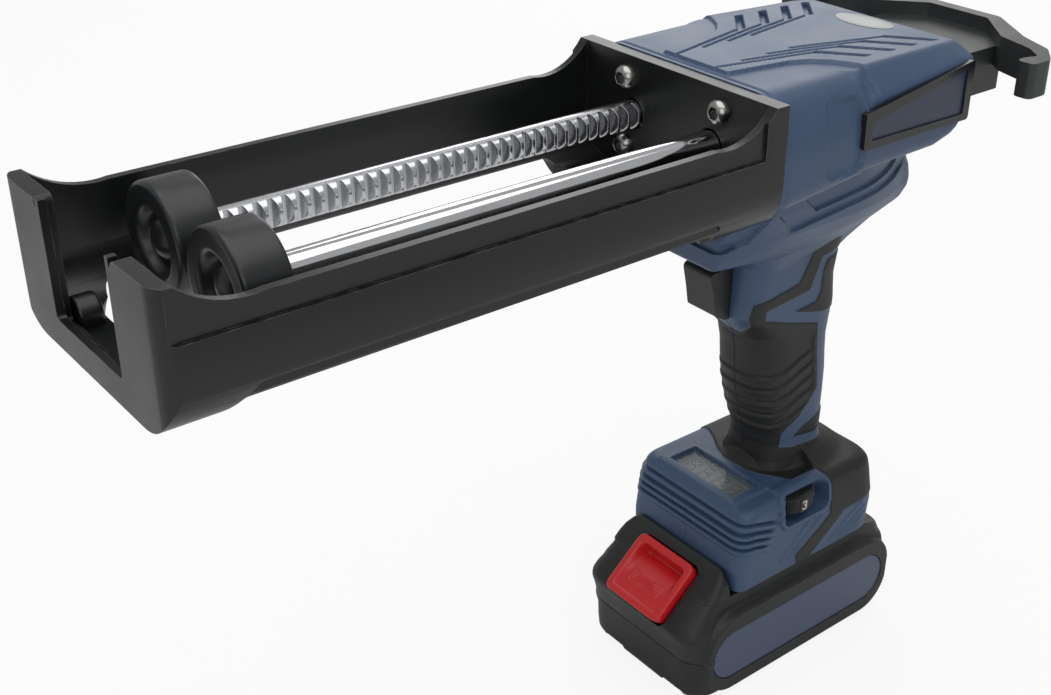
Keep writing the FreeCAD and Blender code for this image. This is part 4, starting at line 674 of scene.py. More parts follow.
def rounded_copy(name: str, node: str, radius: float, finish: Finish, body: str,
                 segments: int = 3) -> bpy.types.Object:
    """Copy of a CAD node's mesh with its edges over ROUNDED_ANGLE rounded, which stands for the node.

    Args:
        name: the piece's name.
        node: the CAD node.
        radius: the rounding's width; 0 keeps the edges as they are.
        finish, body: as for make_piece.
        segments: steps round an edge.

    Returns:
        The object.
    """
    work = bmesh.new()
    work.from_mesh(frame["nodes"][node].data)
    bmesh.ops.remove_doubles(work, verts=work.verts, dist=MERGE_DISTANCE)
    if radius:
        bmesh.ops.dissolve_limit(work, angle_limit=math.radians(FLAT_ANGLE), verts=work.verts, edges=work.edges)
    mesh = bpy.data.meshes.new(name)
    work.to_mesh(mesh)
    work.free()
    piece = settle(name, mesh, finish, body, [node], ROUNDED_ANGLE)
    if not radius:
        return piece
    bevel = piece.modifiers.new("rounding", "BEVEL")
    bevel.width, bevel.segments = radius * MM, segments
    bevel.limit_method, bevel.angle_limit = "ANGLE", math.radians(ROUNDED_ANGLE)
    bevel.harden_normals = True
    return piece


def boxes(name: str, spans: Sequence[Sequence[Sequence[float]]], finish: Finish, body: str,
          nodes: Sequence[str] = ()) -> bpy.types.Object:
    """Plain boxes in one piece.

    Args:
        name, finish, body, nodes: as for make_piece.
        spans: low and high corner of each box.

    Returns:
        The object.
    """
    ends = np.asarray(spans, float)
    base = [(0, 0), (1, 0), (1, 1), (0, 1)]
    pick = np.array([(*corner, level) for level in (0, 1) for corner in base], bool)
    points = np.where(pick, ends[:, None, 1], ends[:, None, 0])
    quads = np.array([(0, 3, 2, 1), (4, 5, 6, 7), (0, 1, 5, 4), (1, 2, 6, 5), (2, 3, 7, 6), (3, 0, 4, 7)])
    faces = quads + 8 * np.arange(len(ends))[:, None, None]
    return make_piece(name, points.reshape(-1, 3), [faces.reshape(-1, 4)], finish, body, nodes)


@dataclass
class Studio:
    """Pale floor, soft lamps and the camera at the photograph's angle; lengths in metres."""

    target: Colour = (0.0, 0.0, 0.2)
    light: float = 0.42
    white: float = 0.97
    floor_white: float = 0.88
    floor_half: float = 4

    def build(self) -> None:
        """Make the world, the floor, the lamps and the camera."""
        self.world()
        self.floor()
        self.lamp("top", (0.1, 0.1, 1.5), 1.6, 11.5)
        self.lamp("front_left", (1.0, 1.3, 0.9), 1.0, 4)
        self.lamp("behind_right", (-1.0, -1.1, 0.9), 1.0, 6)
        self.camera()

    def world(self) -> None:
        """Even pale light from all round, white where the camera looks past the floor."""
        world = bpy.data.worlds.new("studio")
        bpy.context.scene.world = world
        world.use_nodes = True
        tree = world.node_tree
        background = tree.nodes["Background"]
        background.inputs["Color"].default_value = (1, 1, 1, 1)
        rays, level = tree.nodes.new("ShaderNodeLightPath"), tree.nodes.new("ShaderNodeMath")
        level.operation = "MULTIPLY_ADD"
        tree.links.new(rays.outputs["Is Camera Ray"], level.inputs[0])
        level.inputs[1].default_value, level.inputs[2].default_value = self.white - self.light, self.light
        tree.links.new(level.outputs[0], background.inputs["Strength"])

    def floor(self) -> None:
        """White floor to the camera and through clear pieces, which still takes the object's shadow."""
        sheet = Sheet("floor_white")
        grain = sheet.noise(40, 2)
        sheet.dress(Base_Color=sheet.mix(grain, (0.8, 0.8, 0.8), (0.84, 0.84, 0.84)), Roughness=0.9)
        rays = sheet.add("ShaderNodeLightPath").outputs
        seen = (Shade(sheet, rays["Is Camera Ray"]) + Shade(sheet, rays["Is Transmission Ray"])) * self.floor_white
        glow = sheet.add("ShaderNodeEmission", None, {"Color": (1, 1, 1), "Strength": 1.0})
        blend = sheet.add("ShaderNodeMixShader", None, {0: seen, 1: sheet.shader.outputs[0], 2: glow.outputs[0]})
        sheet.feed(sheet.output.inputs["Surface"], blend.outputs[0])
        mesh = bpy.data.meshes.new("floor")
        side = self.floor_half
        mesh.from_pydata([(-side, -side, 0), (side, -side, 0), (side, side, 0), (-side, side, 0)], [], [(0, 1, 2, 3)])
        mesh.materials.append(sheet.material)
        floor = bpy.data.objects.new("floor", mesh)
        bpy.context.scene.collection.objects.link(floor)

    def lamp(self, name: str, place: Sequence[float], side: float, power: float) -> None:
        """Square soft lamp that faces the target.

        Args:
            name: its name.
            place: where it is.
            side: its side.
            power: its power in watts.
        """
        light = bpy.data.lights.new(name, "AREA")
        light.size, light.energy = side, power
        lamp = bpy.data.objects.new(name, light)
        lamp.rotation_euler = (Vector(self.target) - Vector(place)).to_track_quat("-Z", "Y").to_euler()
        lamp.location = place
        bpy.context.scene.collection.objects.link(lamp)

    def camera(self) -> None:
        """Camera solved from the photograph: its place, its axes as columns, lens and shift."""
        data = bpy.data.cameras.new("photo_angle")
        data.sensor_width, data.lens = 36, 49.29
        data.shift_x, data.shift_y = -0.0442, -0.0122
        data.clip_start, data.clip_end = 0.01, 20
        camera = bpy.data.objects.new("photo_angle", data)
        axes = Matrix(((-0.774383, -0.288156, 0.563292), (0.632569, -0.371863, 0.679392),
                       (0.013696, 0.882431, 0.470243))).to_4x4()
        camera.matrix_world = Matrix.Translation((0.4052, 0.3642, 0.4351)) @ axes
        bpy.context.scene.collection.objects.link(camera)
        bpy.context.scene.camera = camera


@dataclass
class Cradle:
    """Tray that holds the cartridge, with its four screws."""

    rounding: float = 1.1
    seat: float = 58
    boss: tuple[float, float] = (-27, 234.5)
    socket: float = 2.1
    screw_y: float = 24.85
    screw_z: tuple[float, float] = (240.65, 267.35)

    def build(self) -> None:
        """Round the tray's edges, make the screws and add the round boss by the far lip."""
        rounded_copy("cradle_tray", "cartridge_cradle", self.rounding, Finish.CRADLE, "main")
        for row, z in enumerate(self.screw_z):
            self.button(f"tray_screw_{row}_left", self.screw_y, z)
            self.button(f"tray_screw_{row}_right", -self.screw_y, z)
        boss = ((268, 0.01), (268, 6), (275.8, 6), (275.8, 0.01))
        turned("tray_boss", boss, (1.4, 1), self.boss, Finish.CRADLE, "main")

    def button(self, name: str, y: float, z: float) -> None:
        """Make one button head with its hexagon socket, and a black disc on the socket's floor as painted shade.

        Args:
            name: the piece's name.
            y, z: where its axis is.
        """
        turn = circle(POINTS_AROUND)
        socket = self.socket / np.cos(turn % (math.pi / 3) - math.pi / 6)
        place = self.seat + np.array([-1, 0.9, 1.8, 2.7, 3.3, 3.6, 3.65, 3.5, 1.2, 1.2])
        dome = np.outer([4.75, 4.75, 4.5, 3.95, 3.3, 2.8], np.ones_like(turn))
        radius = np.concatenate([dome, np.outer([1.08, 1, 1, 0.02], socket)])
        rings = np.stack([np.broadcast_to(place[:, None], radius.shape), y + radius * np.cos(turn),
                          z + radius * np.sin(turn)], -1)
        closed_skin(name, rings, Finish.SCREW, "main", ["cradle_screws"], 30)
        # Black disc on the hex socket's floor: painted shade in the recess, not a part of the screw.
        low, high = self.seat + 1.1, self.seat + 1.4
        floor = ((low, 0.01), (low, 2.08), (high, 2.08), (high, 0.01))
        turned(name + "_socket", floor, (0.01, 0.01), (y, z), Finish.BADGE, "main")


@dataclass
class PushRods:
    """Both rods with their plungers, and the yoke behind."""

    tooth_rounding: float = 0.25
    rod_rounding: float = 0.4
    yoke_rounding: float = 1.0
    rod_y: float = 20.8
    rod_z: float = 254

    def build(self) -> None:
        """Round the rods' and yoke's edges and turn the plungers with their dished faces."""
        rounded_copy("toothed_rod", "rack_rod", self.tooth_rounding, Finish.RACK, "push_rods", 2)
        rounded_copy("bright_rod", "plain_rod", self.rod_rounding, Finish.CHROME, "push_rods", 2)
        rounded_copy("rear_yoke", "pull_yoke", self.yoke_rounding, Finish.YOKE, "push_rods")
        rounded_copy("plunger_domes", "plunger_screws", 0, Finish.PLUNGER, "push_rods")
        dish = ((246.2, 0.01), (246.2, 9), (251, 11.6), (251, 19), (235, 19), (235, 0.01))
        for node, side in (("rack_plunger", -1), ("plain_plunger", 1)):
            turned(node + "_face", dish, (2.2, 1.6, 2, 1.4), (side * self.rod_y, self.rod_z), Finish.PLUNGER,
                   "push_rods", [node])


HALVES = ("housing_left", "housing_right")
RUBBERS = ("grip_rubber_left", "grip_rubber_right")


@dataclass
class UpperBody:
    """Upper housing: rounded hood in front, raised top with grooves and vents, faceted shoulders."""

    front: float = 52
    rear: float = -62
    rows: int = 232
    plateau: float = 1.2
    groove: float = 0.75
    vent: float = 2.2
    panel: float = 1.7
    cap: float = 0.9
    cap_lift: float = 25.6
    sticker_x: float = -46.5
    sticker_half: tuple[float, float] = (8.2, 13.5)

    def crown(self, x: Array) -> Array:
        """Height of the plain top at each x."""
        return along(x, (-62, 269.5), (-60, 272.5), (-56, 274.6), (-47, 275.4), (3, 276.6), (52, 276.4))

    def sections(self, x: Array) -> Array:
        """Rounded half sections from the underside's middle to the top's middle, one row for each x.

        Args:
            x: places along the tool.

        Returns:
            Points (y, z), shape (rows, n, 2).
        """
        half = along(x, (-62, 42.5), (-60, 44.5), (-53, 46), (6.5, 49.8), (8.5, 52), (14, 52.5), (49, 52.5),
                     (52, 51.8))
        low = along(x, (-62, 247), (-57, 246), (-54, 242), (-50, 240), (-40, 238), (5, 239), (49, 234.5), (52, 235))
        side_top = along(x, (-62, 266), (-58, 270), (-50, 271), (3, 267.6), (9, 263), (14, 262), (52, 261))
        ridge = along(x, (-62, 33), (-58, 36.5), (-47, 38.4), (3, 41), (9, 43.6), (14, 44), (52, 43.5))
        crown = self.crown(x)
        zero = np.zeros_like(x)
        corners = np.stack([np.stack(pair, 1) for pair in
                            ((zero, low), (half, low), (half, side_top), (ridge, crown), (zero, crown))], 1)
        hood = smooth(4, 13, x)
        radii = np.stack([zero, 5 + 3 * hood, 1.5 + 7 * hood, 1.5 + 7 * hood, zero], 1)
        return rounded_runs(corners, radii, (14, 44, 26, 82), 9)

    def relief(self, rings: Array) -> Array:
        """How far each point stands out: raised plateau, front line, grooves, vents and side panel.

        Args:
            rings: the plain body's points.

        Returns:
            Heights, above 0 outwards.
        """
        x, y, z = axes_of(rings)
        y = np.abs(y)
        top = smooth(272.5, 274.5, z)
        raised = shape_distance(x, y, ((47, -1), (47, 16.8), (33, 19), (20, 21), (12.5, 24.5), (7, 30), (2, 39),
                                       (0, 60), (-70, 60), (-70, -1)))
        height = self.plateau * smooth(-0.5, 0.5, raised) * smooth(262, 273, z) * smooth(-66, -58, x)
        cut = self.groove * 0.8 * trench(line_distance(x, y, ((49.6, 0), (49.6, 42))), 0.35, 0.5)
        for start, bend in ((46, 6.5), (32.8, -7), (19.6, -20), (7.4, -32.5)):
            line = line_distance(x, y, ((start, 10.2), (bend, 19)))
            cut = np.maximum(cut, self.groove * trench(line, 0.4, 0.5))
            slot = shape_distance(x, y, ((bend + 0.4, 18.6), (bend - 4, 18.6), (bend - 18, 34), (bend - 13.6, 34)))
            cut = np.maximum(cut, self.vent * smooth(-0.1, 0.5, slot))
        side = rounded_distance(x, z, (19.7, 256.5), (11.2, 14.8), 7)
        inset = self.panel * smooth(0, 1.6, side) * smooth(30, 42, y)
        return height - cut * top - inset

    def build(self) -> None:
        """Make the body's skin."""
        x = np.concatenate([[self.front], np.linspace(self.front, self.rear, self.rows), [self.rear]])
        half = self.sections(x)
        half[[0, -1]] = half[[0, -1]] * self.cap + np.array([0, self.cap_lift])
        rings = np.concatenate([np.broadcast_to(x[:, None, None], half.shape[:2] + (1,)), half], 2)
        rings = mirrored(rings)
        rings[1:-1] += outward(rings)[1:-1] * self.relief(rings)[1:-1, :, None]
        closed_skin("upper_body", rings, Finish.HOUSING, "main", HALVES)
        self.sticker()

    def sticker(self) -> None:
        """Lay a bare oval sticker on the back of the top."""
        turn = circle(96)
        reach = np.array([1, 1, 0.97, 0.5, 0.02])[:, None]
        long, wide = self.sticker_half
        x, y = self.sticker_x + long * reach * np.cos(turn), wide * reach * np.sin(turn)
        lift = self.plateau + np.array([-0.4, 0.12, 0.2, 0.2, 0.2])[:, None]
        closed_skin("top_sticker", np.stack([x, y, self.crown(x) + lift], -1), Finish.DISPLAY, "main")


@dataclass
class Belly:
    """Boat-shaped motor housing under the body, with its chin ahead of the trigger."""

    rows: int = 200
    pocket: float = 1.4
    step: float = 1.6

    def build(self) -> None:
        """Make the belly's skin, with two pockets a side and a step round the chin."""
        z = np.linspace(247, 186, self.rows)
        rear = along(z, (186, -27), (190, -31), (197, -42), (203, -52), (207, -58.5), (211, -62.5), (215, -63.5),
                     (219, -64), (238, -60), (247, -57))
        front = along(z, (186, 24), (199, 29), (200.6, 33), (201.4, 50), (202.2, 53), (203.4, 54), (215, 54),
                      (222, 53), (226, 51.8), (247, 51.6))
        nose = along(z, (186, 12), (199, 19), (203, 22.5), (212, 23.5), (226, 34), (247, 36))
        half = along(z, (186, 19), (192, 20.5), (199, 24), (206, 29.5), (214, 34.5), (224, 37.5), (247, 42))
        bow = along(z, (186, 6), (199, 10), (201, 24), (215, 24), (226, 12), (247, 8))
        stern = half * along(z, (186, 0.78), (207, 0.72), (216, 0.58), (224, 0.45), (247, 0.4))
        plan = ((rear, 0), (rear, stern), (rear + 36, half), (front - bow, half), (front, nose), (front, 0))
        chin = along(z, (186, 5), (201, 2.4), (215, 2.4), (226, 4), (247, 5))
        rings = stacked(z, plan, (half * 0.26, 26, 9, chin), (16, 50, 72, 20, 24), 12)
        x, y, height = axes_of(rings)
        y = np.abs(y)
        upper = shape_distance(x, height, ((21, 228), (13.5, 221), (-10, 223.3), (-44, 227), (-52, 231), (-52, 252),
                                           (21, 252)))
        lower = shape_distance(x, height, ((36, 226), (26, 215.5), (-12, 219.5), (-50, 222.5), (-57, 226), (-57, 252),
                                           (36, 252)))
        side = smooth(12, 18, y) * smooth(-54, -44, x)
        cut = side * self.pocket * (smooth(-0.15, 0.4, lower) + smooth(-0.15, 0.4, upper))
        ahead = shape_distance(x, height, ((62, 210), (50, 210), (43, 213.5), (41.5, 222), (37, 236), (37, 250),
                                           (62, 250)))
        cut = cut + self.step * smooth(-0.15, 0.35, ahead)
        rings = rings - outward(rings) * cut[..., None]
        closed_skin("motor_belly", rings, Finish.HOUSING, "main", HALVES)


WELL_DEPTH = 7
WELL_RADIUS = 2.9
SCREW_SINK = 1.6
SCREW_PLACES = ((-8.9, 108, -9.6), (-22.3, 152, -10.2))


def screw_wells(rings: Array) -> Array:
    """Depth of the round screw wells on the right side at each point."""
    x, y, z = axes_of(rings)
    near = np.min([np.hypot(x - a, z - c) for a, c, _ in SCREW_PLACES], axis=0)
    return WELL_DEPTH * trench(near, WELL_RADIUS, 0.5) * smooth(-10, -13, y)


def side_screws() -> None:
    """Set the housing's screw heads, each with a cross slot's hollow, in the wells on the right side."""
    turn = circle(72)
    depth = np.array([6, 0.5, 0, 0, 0.9, 0.9])[:, None]
    reach = np.array([2.6, 2.6, 2.2, 1.3, 0.9, 0.01])[:, None]
    star = 1 - 0.35 * (0.5 - 0.5 * np.cos(4 * turn)) * (reach < 1.4)
    for number, (x, z, head) in enumerate(SCREW_PLACES):
        rings = np.stack([x + reach * star * np.cos(turn), np.broadcast_to(head - SCREW_SINK + depth, star.shape),
                          z + reach * star * np.sin(turn)], -1)
        closed_skin(f"side_screw_{number}", rings, Finish.SCREW, "main", ["housing_screws"], 40)


@dataclass
class Grip:
    """Pistol grip: blue core under a soft black overmould with flashes left open."""

    rows: int = 230
    proud: float = 0.55
    groove: float = 0.6
    grooves: int = 5
    groove_pitch: float = 6.55
    ledge: float = 0.3
    rib: float = 0.6
    rib_pitch: float = 3.6
    seam: float = 0.35

    def rubber(self, x: Array, z: Array) -> Array:
        """Signed distance into the overmould: the sleeve and two bands, less the back strip with its flash.

        Args:
            x, z: points of the grip.

        Returns:
            Distances, above 0 in rubber.
        """
        sleeve = shape_distance(x, z, ((70, 40), (70, 155.5), (15.6, 155.5), (16.6, 157.2), (20.2, 163.5),
                                       (24.5, 170.4), (17.7, 168.7), (1.5, 162.8), (-16.4, 157.1), (-70, 141),
                                       (-70, 40)))
        band = shape_distance(x, z, ((-6, 196.5), (0.4, 181.3), (23.7, 177.5), (24.5, 170.4), (20.2, 163.5),
                                     (17, 163), (17.5, 173.1), (-7.2, 175.7), (-11.3, 190.1), (-60, 193),
                                     (-60, 202), (-12, 201)))
        wedge = shape_distance(x, z, ((0, 167.6), (-12.5, 168.8), (-14.2, 173.5), (-13.2, 183), (-15, 188),
                                      (-60, 190), (-60, 157), (-17.5, 162.2), (-9.1, 164.6)))
        strip = shape_distance(x, z, ((-16.4, 158), (-18, 145.4), (-20, 133.3), (-21.3, 124.2), (-17.6, 119.2),
                                      (-12.1, 113), (-5.7, 109.3), (-3.1, 106.8), (-2.8, 98.8), (-9.9, 97.4),
                                      (-23.5, 96), (-60, 92), (-60, 99.5), (-25.2, 100), (-9.4, 102.7), (-14.7, 106),
                                      (-23.1, 108.5), (-60, 113), (-60, 157)))
        return np.maximum(np.minimum(sleeve, -strip), np.maximum(band, wedge))

    def build(self) -> None:
        """Make the grip's skin, with swoosh grooves on the sides and ribs up the back."""
        z = np.linspace(200, 80, self.rows)
        front = along(z, (80, 8), (92, 4.6), (100, 4), (105.6, 4.9), (112, 7.2), (118, 9.4), (130, 12.2),
                      (139, 13.3), (148, 14.1), (157, 16.2), (163, 21), (167, 26), (170, 28), (176, 27.6), (200, 27))
        rear = along(z, (80, -44), (92, -36.2), (96, -34.6), (101, -33.8), (118, -33.9), (130, -33.4), (139, -32.3),
                     (148, -31.6), (158, -32.6), (165, -32.2), (178, -30), (190, -31), (200, -34.5))
        half = along(z, (80, 21), (92, 16.8), (97, 15.8), (101, 15.5), (112, 16), (130, 16.5), (156, 17),
                     (170, 18.2), (182, 19.4), (200, 21))
        spread = along(z, (80, 15), (156, 16), (172, 12), (200, 10))
        rings = stacked(z, oblong(rear, half, front), (half, spread), (8, 50, 12), 56)
        x, y, height = axes_of(rings)
        y = np.abs(y)
        rubber = self.rubber(x, height)
        out = self.proud * smooth(-0.2, 0.3, rubber)
        for k in range(self.grooves):
            base = 137.6 - self.groove_pitch * k
            curve = ((60, base - 1.2), (6, base), (2.4, base + 1.5), (-8.7, base + 5.9), (-13.5, base + 7.5),
                     (-14.7, base + 9.3), (-14.3, base + 14.4))
            line = line_distance(x + k, height, curve)
            out = out - self.groove * trench(line, 0.22, 0.55) * smooth(0.3, 1.2, rubber)
            ledge = line_distance(x + k, height + 1.7, curve)
            out = out + self.ledge * trench(ledge, 0.4, 1.3) * smooth(0.3, 1.5, rubber)
        back = smooth(12, 9, y) * smooth(-16, -19, x) * smooth(114, 118, height) * smooth(192, 188, height)
        out = out + back * self.rib * (0.5 + 0.5 * np.sin(height * 2 * math.pi / self.rib_pitch))
        out = out - self.seam * trench(y, 0.1, 0.25) * smooth(0, 4, x) - screw_wells(rings)
        rings = rings + outward(rings) * out[..., None]
        closed_skin("grip_handle", rings, Finish.RUBBER, "main", (*RUBBERS, *HALVES), 50, {"rubber": rubber})


@dataclass
class Foot:
    """Foot of the handle: display window, ridged front, dial recess, collar of soft overmould."""

    low: float = 50.6
    top: float = 88
    ridge: float = 1.5
    lip: float = 0.7
    proud: float = 0.6
    tent: float = 6.5
    bezel: float = 1.3
    window: float = 4
    niche: float = 8
    niche_rim: float = 1.5
    rib: float = 0.55
    seam: float = 0.4

    def rubber(self, x: Array, y: Array, z: Array) -> Array:
        """Signed distance into the overmould: the collar behind a wavy line, and a slanted side stripe."""
        line = along(np.abs(y), (0, 9.6), (7, 9), (14, 6), (21, 1.4), (27, -1.4), (34, -1.6))
        collar = np.minimum(line - x, z - along(x, (-60, 69), (-40, 68), (-26, 67), (-16, 79), (-8, 84), (0, 86)))
        stripe = shape_distance(x, z, ((-15.7, 90), (-17.3, 69), (3.4, 55.6), (2, 50), (-5, 50), (-26, 66.4),
                                       (-30, 90)))
        return np.maximum(collar, np.minimum(stripe, np.abs(y) - 24))

    def rings(self) -> Array:
        """Plain foot: hollow underside, stacked outlines, then the top drawn in towards its middle."""
        z = np.concatenate([np.linspace(self.low, 84, 124), np.linspace(84.3, self.top, 12)])
        edge = np.clip((z - 84) / 4, 0, 1)
        pull = 4 * (1 - np.sqrt(np.maximum(1 - edge ** 2, 0)))
        rear = along(z, (50, -50.5), (64, -51.5), (80, -49), (88, -47.5)) + pull
        front = along(z, (50, 37.6), (60, 38.4), (78, 37), (84, 35.4), (88, 34.6)) - pull
        half = along(z, (50, 34.2), (66, 34.6), (80, 33.6), (88, 32.6)) - pull
        corner = along(z, (50, 5), (70, 8), (88, 8))
        side = stacked(z, oblong(rear, half, front), (13, corner), (44, 88, 44), 16)
        share = np.linspace(1, 0.02, 72)[1:, None, None]
        middle = np.array([-8.0, 0, self.top])
        hollow = side[:1] * np.array([0.93, 0.93, 1]) + np.array([[[-0.5, 0, 9.4]], [[-0.5, 0, 0]]])
        return np.concatenate([hollow, side, middle + (side[-1:] - middle) * share])

    def build(self) -> None:
        """Make the foot's skin with its window, bezel, ridges, dial niche, ribs and collar."""
        rings = self.rings()
        x, y, z = axes_of(rings)
        wide = np.abs(y)
        niche = rounded_distance(x, z, (-1, 80.8), (13.4, 6.4), 3.5)
        on_left = smooth(22, 27, y)
        rubber = self.rubber(x, y, z)
        rubber = np.where(y > 26, np.minimum(rubber, -niche - 2.6), rubber)
        upward = smooth(86.8, 87.8, z)
        reach = np.hypot((x + 14.8) / 19, y / 15.8)
        tent = self.tent * smooth(np.where(x > -14.8, 1.35, 1.9), 0.95, reach) ** 1.4
        out = self.proud * smooth(-0.25, 0.35, rubber) + upward * tent
        bezel = np.minimum(np.minimum(x - 11.5, 33 - x), 23.5 - wide)
        window = np.minimum(np.minimum(x - 14.6, 29.4 - x), 19.4 - wide)
        out = out + upward * (self.bezel * smooth(-0.2, 0.4, bezel) - self.window * smooth(-0.1, 0.4, window))
        for level in (82.6, 78.6, 75.0, 71.6):
            slope = level - 0.28 * np.maximum(30 - x, 0)
            reach = smooth(14 + (84 - level) * 0.5, 18 + (84 - level) * 0.5, x)
            out = out - self.ridge * trench(np.abs(z - slope), 0.4, 0.45) * reach * (1 - upward)
            out = out + self.lip * trench(np.abs(z - slope + 1.5), 0.7, 1.0) * reach * (1 - upward)
        out = out + on_left * (self.niche_rim * smooth(-2.5, -1.9, niche) - self.niche * smooth(-0.2, 0.4, niche))
        flank = smooth(25, 29, wide) * (1 - upward)
        for start, end in (((12, 57.5), (-6, 72)), ((7.4, 56), (-11, 69.5)), ((-20, 53.5), (-39, 66.5)),
                           ((-26, 52.5), (-41.5, 63)), ((-32, 52), (-42, 59))):
            out = out + flank * self.rib * trench(line_distance(x, z, (start, end)), 0.5, 1.1)
        out = out - self.seam * trench(wide, 0.12, 0.35) * smooth(20, 26, x) * smooth(84, 80, z)
        out[:2] = 0
        rings = rings + outward(rings) * out[..., None]
        closed_skin("handle_foot", rings, Finish.RUBBER, "main", (*RUBBERS, *HALVES), 50, {"rubber": rubber})


FIGURES = {
    1: ((-0.6, 1.2), (0, 2), (0, -2)),
    2: ((-1, 1.2), (-0.6, 1.9), (0.5, 1.9), (1, 1.2), (0.9, 0.4), (-1.1, -2), (1.1, -2)),
    3: ((-1.1, 1.6), (0, 2), (1, 1.5), (1, 0.6), (0, 0.1), (1, -0.5), (1, -1.5), (0, -2), (-1.1, -1.6)),
    4: ((0.5, -2), (0.5, 2), (-1.2, -0.8), (1.2, -0.8)),
    5: ((1, 2), (-0.9, 2), (-1, 0.3), (0.4, 0.4), (1, -0.5), (0.8, -1.5), (0, -2), (-1.1, -1.7)),
}


@dataclass
class Controls:
    """Trigger, release button, speed dial and the display's figures."""

    rounding: float = 0.9
    button_rounding: float = 0.7
    figure_z: tuple[float, float] = (86.02, 86.08)
    dial: tuple[float, float, float] = (2, 22.2, 82.5)
    radius: float = 13.75
    thick: float = 7
    ribs: int = 66
    rib_depth: float = 0.55
    figure_step: float = 60
    stroke: float = 0.36

    def build(self) -> None:
        """Round the trigger's and the button's edges and make the dial and the display's figures."""
        rounded_copy("trigger_lever", "trigger", self.rounding, Finish.TRIGGER, "trigger")
        rounded_copy("release_nub", "release_button", self.button_rounding, Finish.TRIGGER, "release_button")
        self.wheel()
        self.figures()

    def figures(self) -> None:
        """Lay the display's four blank figures, with every segment dark, under the lens."""
        spans, (low, high) = [], self.figure_z
        for middle in (-12.6, -4.2, 4.2, 12.6):
            spans += [((x - 0.35, middle - 1.8, low), (x + 0.35, middle + 1.8, high)) for x in (18, 22, 26)]
            for y in (middle - 2.2, middle + 2.2):
                spans += [((x, y - 0.35, low), (x + 3.3, y + 0.35, high)) for x in (18.35, 22.35)]
        boxes("display_figures", spans, Finish.INNER, "main")

    def wheel(self) -> None:
        """Make the dial: ribbed rim with smooth lands that carry the figures."""
        low, high = -self.thick / 2, self.thick / 2
        corners = np.array([[(low, 0.5), (low, self.radius), (high, self.radius), (high, 0.5)]])
        profile = rounded_runs(corners, np.array([[0, 0.7, 0.7, 0]]), (5, 40, 5), 4)[0]
        turn = circle(10 * self.ribs)[None]
        level, radius = profile[:, :1], profile[:, 1:]
        ink = np.full((len(profile), turn.shape[1]), -1.0)
        land = np.zeros_like(ink)
        for figure, line in FIGURES.items():
            arc = (turn - math.radians(90 + self.figure_step * (figure - 3)) + math.pi) % (2 * math.pi) - math.pi
            arc = np.broadcast_to(arc * self.radius, ink.shape)
            ink = np.maximum(ink, self.stroke - line_distance(arc, np.broadcast_to(level, ink.shape), line))
            land = np.maximum(land, trench(np.abs(arc), 2.2, 0.3))
        rim = smooth(self.radius - 1.2, self.radius - 0.6, radius)
        ink = np.where(rim > 0.9, ink, -1)
        rib = self.rib_depth * (0.5 - 0.5 * np.cos(turn * self.ribs)) * (1 - land) * rim
        reach = radius - rib
        rings = np.stack([self.dial[0] + reach * np.cos(turn), self.dial[1] + reach * np.sin(turn),
                          np.broadcast_to(self.dial[2] + level, reach.shape)], -1)
        closed_skin("thumb_wheel", rings, Finish.DIAL, "speed_dial", ["speed_dial"], 40, {"ink": ink})


